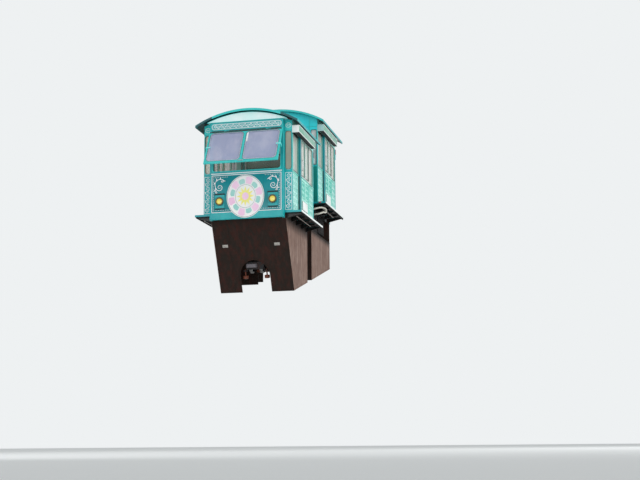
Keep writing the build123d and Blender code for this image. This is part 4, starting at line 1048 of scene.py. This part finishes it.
def cabin(section):
    """Bench slats, pole collars with the overhead rail's ends, and strip lamps on the ceiling."""
    place = lambda P: at(section, P)
    seats, backs = range(0, 348, 58), range(520, 785, 66)
    lean = lambda z: (z - 450) * 0.112
    slats = [brick((-510 - d, 504, 450), (-556 - d, 1836, 468), place, 6) for d in seats]
    slats += [brick((-818 - lean(z), 504, z), (-834 - lean(z), 1836, z + 50), place, 6) for z in backs]
    fit(section, "side_bench_slats", slats, oak)
    slats = [brick((-488, 1440 + d, 450), (906, 1486 + d, 468), place, 6) for d in seats]
    slats += [brick((-488, 1748 + lean(z), z), (906, 1764 + lean(z), z + 50), place, 6) for z in backs]
    fit(section, "end_bench_slats", slats, oak)
    foot, ring = [(18, 0), (40, 0), (40, 4), (24, 14), (18, 16)], [(18, 0), (30, 0), (30, 30), (18, 34)]
    collars = []
    for x, y in ((860, 545), (860, 1390), (-460, 545), (-460, 1390)):
        for profile, z in ((foot, 41), (ring, 1500)):
            collars.append(turned(profile, (x, y, z), (0, 0, 1), place, 24))
    rail = bend([(-460, 545, 1520), (-460, 700, 1524), (-460, 1240, 1524), (-460, 1390, 1520)])
    fit(section, "pole_collars", collars + [pipe(rail, 14, place)], bright_steel)
    lamps = [brick((x - 50, 420, 2150), (x + 50, 1480, 2172), place, 10) for x in (-240, 240)]
    fit(section, "ceiling_lamps", lamps, lit_tube)


# Skirts, running gear and couplings

# Half the skirt's width, its lowest edge at y 730, and half the width of the beam's way in it
SKIRT, SKIRT_FOOT, WAY = 795.0, -1520, 333
# The front plate's direction upwards as it leans, and the face on it
LEAN = np.array([0.0, -728.0, 1520.0]) / np.hypot(728, 1520)
NOSE = Face((0, 2, 0), (1, 0, 0), LEAN, (0, -LEAN[2], LEAN[1]), lambda P: at("front", P))
# Pipes under the uphill floor: three bent runs, and one that rounds the corner
PIPE_RUNS = [
    [(300, 40, -110), (330, 50, -190), (420, 70, -240), (560, 120, -250), (640, 240, -230),
     (650, 330, -230)],
    [(360, 36, -110), (380, 44, -170), (470, 60, -200), (600, 110, -205), (690, 240, -190),
     (695, 330, -190)],
    [(-300, 40, -110), (-330, 50, -190), (-420, 90, -230), (-560, 200, -230), (-600, 360, -220)],
]
PIPE_CORNER = [
    (770, -8, -150), (800, -40, -146), (900, -62, -120), (1010, 20, -84), (1046, 150, -68),
    (1056, 300, -66), (1052, 390, -84), (1046, 400, -120), (1040, 300, -146), (1030, 190, -160),
    (1000, 120, -190), (930, 96, -212), (797, 100, -220),
]
# In the truck's frame: the axles' and the pinion's heights, places of axles and guide rollers, bearing faces
AXLE_Y, AXLE_Z, PINION_Z, GUIDE_X, GUIDE_Y, BEARING_X = 430, 125, 118, 232, 540, 219


def skirt_foot(y):
    """Height of the side plates' lower edge, which runs along the slope."""
    return SKIRT_FOOT + (y - 730) * np.tan(SLOPE)


def beam_way(crown, foot, tilt=1.0):
    """Rim of the beam's way: a half circle on two straight legs, stretched by tilt where the plate leans."""
    t = np.linspace(0, np.pi, 25)
    curve = np.stack([WAY * np.cos(t), crown - WAY + WAY * np.sin(t)], -1)
    return np.concatenate([[(WAY, foot)], curve, [(-WAY, foot)]]) * (1, tilt)


def front_skirt():
    """Arch rim, flanges, upright seams, bolts and two blank plates on the leaning front plate."""
    rims = [carry(beam_way(-877, SKIRT_FOOT + 12, 1 / LEAN[2]), 26, 7, NOSE, False, STRIP)]
    rims += [upright(s * 782, -1680, -26, 26, 6, NOSE) for s in (-1, 1)]
    rims.append(level(-780, 780, -14, 28, 7, NOSE))
    for s in (-1, 1):
        rims.append(level(s * SKIRT, s * 346, -1672, 22, 6, NOSE))
        rims.append(upright(s * 470, -1650, -30, 9, 3, NOSE, BEAD))
    spots = [NOSE.spot(x, -14, 6) for x in np.linspace(-750, 750, 16)]
    fit("front", "skirt_rims", rims + bolts(spots, NOSE.axes[2], NOSE.place, 9, 7), brown_paint)
    plates = [plate(between(x - 60, x + 60, -690, -628, 6), -0.5, 4, NOSE) for x in (-570, 545)]
    fit("front", "skirt_blank_plates", plates, bare_plate, slot="white_panel")


def side_skirts(section):
    """Seams, flanges and a row of bolts on the two side plates, which slope at the front section's nose."""
    nose, trim = section == "front", []
    top, first, last = (0, 30, 1900) if nose else (-580, 12, 1868)
    begin = 745 if nose else first
    for s in (-1, 1):
        face = side_face(section, s * SKIRT)
        for y in np.linspace(first + 330, last - 30, 5):
            low = max(skirt_foot(y), -y * 2.088 + 20) if nose else skirt_foot(y)
            trim.append(upright(y, top - 10, low + 14, 9, 3, face, BEAD))
        trim.append(level(first, last, top - 16, 26, 6, face))
        along = [(y, skirt_foot(y) + 14) for y in (begin, last)]
        trim.append(carry(along, 22, 6, face, False, STRIP))
        if nose:
            trim.append(carry([(20, -28), (742, -1506)], 24, 6, face, False, STRIP))
        spots = [(s * (SKIRT + 5), y, top - 16) for y in np.linspace(first + 40, last - 40, 18)]
        trim += bolts(spots, (s, 0, 0), face.place, 8, 6)
    fit(section, "skirt_side_trim", trim, sunlit_brown[section])


def rear_skirt():
    """Arch rims and upright flanges on the uphill section's two end plates."""
    rims = []
    for y, out in ((0, -1), (LENGTH, 1)):
        face = Face((0, y, 0), (1, 0, 0), (0, 0, 1), (0, out, 0), lambda P: at("rear", P))
        crown = -DEPTH + (y - LENGTH / 2) * np.tan(SLOPE) + 290
        rims.append(carry(beam_way(crown, skirt_foot(y) + 12), 26, 6, face, False, STRIP))
        rims += [upright(s * 782, skirt_foot(y) + 10, -10, 24, 6, face) for s in (-1, 1)]
    fit("rear", "skirt_rims", rims, brown_paint)


def running_gear(section):
    """Bolts, bearing caps, roller caps and wheel detail on one truck."""
    place = lambda P: at_truck(section, P)
    ring = [(52, 0), (52, 5), (46, 9), (34, 10), (33, 6), (28, 6)]
    rim = [(118, 0), (118, 3), (104, 3), (100, 0)]
    caps, heads = [], []
    for s in (-1, 1):
        for y, z in ((-AXLE_Y, AXLE_Z), (0, PINION_Z), (AXLE_Y, AXLE_Z)):
            caps.append(turned(ring, (s * BEARING_X, y, z), (s, 0, 0), place, 28))
            corners = [(s * BEARING_X, y + a * 44, z + b * 44) for a in (-1, 1) for b in (-1, 1)]
            heads += bolts(corners, (s, 0, 0), place, 9, 9)
        heads += bolts([(s * 228, y, 275) for y in np.linspace(-590, 590, 9)], (0, 0, 1), place, 9, 9)
    fit(section, "bearing_caps", caps, wheel_steel)
    fit(section, "truck_bolts", heads, wheel_steel)
    drive = [brick((-100, y, 560), (100, y + 22, 574), place, 3) for y in range(-150, 172, 46)]
    drive.append(turned([(70, 0), (70, 20), (60, 34), (20, 36)], (130, 0, 400), (1, 0, 0), place, 32))
    fit(section, "motor_fins", drive, truck_paint)
    for k, y in ((1, -AXLE_Y), (2, AXLE_Y)):
        sides = [(s, x, out) for s in (-1, 1) for x, out in ((140.5, s), (79.5, -s))]
        rims = [turned(rim, (s * x, y, AXLE_Z), (out, 0, 0), place, 40) for s, x, out in sides]
        fit(section, f"wheel_rims_{k}", rims, bright_steel, f"axle_{k}")
    for k, (b, a) in enumerate(((-1, -1), (-1, 1), (1, -1), (1, 1)), 1):
        spot = (a * GUIDE_X, b * GUIDE_Y, -95)
        cap = turned([(46, 0), (46, 4), (30, 7), (12, 7)], spot, (0, 0, -1), place, 28)
        fit(section, f"guide_cap_{k}", [cap], wheel_steel, f"guide_{k}")


def underfloor():
    """The uphill section's bent pipes with their flanges, the red reflector and the cabinets' doors."""
    place = lambda P: at("rear", P)
    pipes = [pipe(bend(run), 16, place, 12) for run in PIPE_RUNS]
    pipes.append(pipe(bend(PIPE_CORNER, 6), 19, place, 14))
    for spot, axis in (((770, 0, -150), (0, -1, 0)), ((795, 100, -220), (1, 0, 0))):
        pipes.append(turned([(19, -2), (34, -2), (34, 10), (26, 16), (19, 16)], spot, axis, place, 20))
    fit("rear", "bay_pipes", pipes, pale_pipe)
    fit("rear", "step_reflector", [brick((985, -58, 8), (1037, -49, 36), place, 4)], red_lens)
    doors = []
    for x, first, last, deep in ((720, 330, 890, 420), (720, 960, 1600, 360), (-720, 330, 1460, 400)):
        face = side_face("rear", x)
        doors.append(plate(between(first + 20, last - 20, -80 - deep, -120, 10), -0.5, 5, face))
        doors.append(carry(between(first + 30, last - 30, -70 - deep, -130, 10), 8, 8, face))
    fit("rear", "cabinet_doors", doors, under_paint)


def buffer_facing():
    """The weathered pad on the buffer block, with a bolt's head in it."""
    place = lambda P: at_truck("front", P)
    facing = [brick((-152, -722, 154), (52, -714, 222), place, 8)]
    facing.append(turned([(9, -4), (9, 2), (5, 4)], (-120, -716, 188), (0, -1, 0), place, 6))
    fit("front", "buffer_facing", facing, grey_rubber)


def desk():
    """Blank panel, two gauges with dials and needles, a lever and push buttons on the desk's sloping top."""
    up, out = (0, -0.966961, 0.254926), (0, 0.254926, 0.966961)
    top = Face((-395, 198, 835.2), (-1, 0, 0), up, out, lambda P: at("front", P))
    stud = lambda profile, steps, *spot: turned(profile, top.spot(*spot), out, top.place, steps)
    fit("front", "desk_panel", [plate(loop(450, 210, 12), -0.5, 3, top)], bare_plate)
    gauges = [stud([(42, 2), (42, 12), (37, 14), (34, 8), (1, 8)], 36, x, 40) for x in (-60, 60)]
    gauges.append(stud([(30, 2), (30, 8), (16, 14), (9, 16)], 28, -160, -10))
    stick = [top.spot(-160, y, z) for y, z in ((-10, 12), (-22, 60), (-44, 104))]
    gauges.append(pipe(stick, 7, top.place, 12))
    gauges += [carry([(x + 3, 36), (x - 16, 58)], 3, 11, top, False) for x in (-60, 60)]
    fit("front", "desk_gauges", gauges, rubber)
    dials = [stud([(33, 7.5), (33, 9), (1, 9)], 36, x, 40) for x in (-60, 60)]
    fit("front", "desk_dials", dials, print_white)
    knob = stud([(1, -22), (12, -20), (20, -10), (22, 0), (19, 11), (10, 19), (1, 21)], 28, -160, -50, 116)
    fit("front", "desk_lever_knob", [knob], red_lens)
    buttons = [stud([(13, 2), (13, 7), (9, 8), (9, 14), (7, 16)], 20, x, -60) for x in range(-90, 91, 45)]
    buttons.append(stud([(19, 2), (19, 8), (12, 9), (17, 18), (12, 22)], 24, 165, -40))
    fit("front", "desk_buttons", buttons, lens_glass)


def board():
    """Generic print on the oval board: a line round its edge, a ring, a fan of wedges, a star and a disc."""
    face, middle = end_face("front", -BAY_OUT - 8), np.array([-17.0, 360.0])
    polar = lambda a, r: np.stack([np.cos(a) * r, np.sin(a) * r * 1.13], -1) + middle
    edge = carry(oval(384, 434, middle, 72), 9, 1.5, face)
    prints = {"grey": [edge, carry(oval(214, 242, middle, 60), 7, 2, face)], "pink": [], "mint": []}
    for k in range(12):
        a = k / 12 * TAU + np.array([0.04, 0.13, 0.26, 0.39, 0.483])
        reach = np.array([345, 364, 368, 364, 345]) - 40 * (k % 2)
        wedge = np.concatenate([polar(a, reach), polar(a[::-1], 236)])
        prints["mint" if k % 2 else "pink"].append(plate(wedge, -0.5, 1.2, face, 0.6))
    prints["pink"].append(plate(oval(70, 79, middle, 36), 0.5, 2.4, face, 0.6))
    points = np.arange(24)
    star = polar(points / 24 * TAU, np.where(points % 2, 105, 190))
    prints["yellow"] = [plate(star, -0.5, 1.4, face, 0.6)]
    finishes = {"grey": print_grey, "pink": print_pink, "mint": print_mint, "yellow": print_yellow}
    for colour, shells in prints.items():
        piece(f"display_board_{colour}_print", shells, "front_section", finishes[colour])


for section in SECTIONS:
    for dress in (bay_panel, lunette, screen_surround, wings, headlamps, sash_trim):
        dress(section)
    side(section, 1)
    side(section, -1)
    for dress in (door_leaf, door_surround, inner_end, roof_trim, floor_trim, cabin, running_gear):
        dress(section)
front_skirt()
side_skirts("front")
side_skirts("rear")
rear_skirt()
underfloor()
buffer_facing()
desk()
board()


# Camera, light, floor

def stand(made, spot, ahead, roll=0.0):
    """Put a camera or lamp at a spot, looking along ahead with its top up, rolled about that line."""
    ahead = np.array(ahead, float) / np.linalg.norm(ahead)
    right = np.cross(ahead, (0, 0, 1))
    right /= np.linalg.norm(right)
    up = np.cross(right, ahead)
    across, top = right * np.cos(roll) + up * np.sin(roll), up * np.cos(roll) - right * np.sin(roll)
    turn = Matrix(np.stack([across, top, -ahead], -1).tolist()).to_4x4()
    made.matrix_world = Matrix.Translation(spot) @ turn
    bpy.context.scene.collection.objects.link(made)


def camera():
    """The photograph's view: a long lens from below, to the right of the track, looking uphill."""
    yaw, pitch = 0.2244, 0.1717
    ahead = (-np.sin(yaw) * np.cos(pitch), np.cos(yaw) * np.cos(pitch), np.sin(pitch))
    data = bpy.data.cameras.new("view")
    data.lens, data.sensor_width, data.clip_end = 66.68, 36, 500
    made = bpy.data.objects.new("view", data)
    stand(made, (6.7765, -23.9647, -3.6381), ahead, roll=-0.0081)
    bpy.context.scene.camera = made


def light(name, spot, aim, size, power):
    """A square softbox at a spot, turned to its aim."""
    data = bpy.data.lights.new(name, "AREA")
    data.size, data.energy = size, power
    stand(bpy.data.objects.new(name, data), spot, np.subtract(aim, spot))


def studio():
    """A pale floor at the camera's feet, a white world, and two softboxes, the stronger on the door side."""
    mesh = bpy.data.meshes.new("floor")
    span, low = 160, -3.72
    corners = [(-span, -span, low), (span, -span, low), (span, span, low), (-span, span, low)]
    mesh.from_pydata(corners, [], [(0, 1, 2, 3)])
    made = start("pale_floor")
    made.feed(made.main, Base_Color=linear("#e4e6e6"), Roughness=0.85)
    mesh.materials.append(made.holder)
    ground = bpy.data.objects.new("floor", mesh)
    bpy.context.scene.collection.objects.link(ground)

    # The world lights the car at one strength, and is brighter where it is seen, in glass or mirrored
    world = Nodes(bpy.data.worlds.new("studio"), "Background")
    path = world.add("LightPath").outputs
    seen = world.reckon("MAXIMUM", path["Is Camera Ray"], path["Is Transmission Ray"])
    seen = world.reckon("MAXIMUM", seen, path["Is Glossy Ray"])
    world.feed(world.main, Color=linear("#f7fafb"), Strength=world.ramp(seen, 0, 1, 0.66, 0.92))
    bpy.context.scene.world = world.holder
    light("door_side_softbox", (13, -3, 6), (0, 0.6, 1.6), 9, 1000)
    light("front_softbox", (-3, -16, 1.5), (0, 0, 2.2), 9, 450)


camera()
studio()
bpy.context.scene.view_settings.view_transform = "Standard"
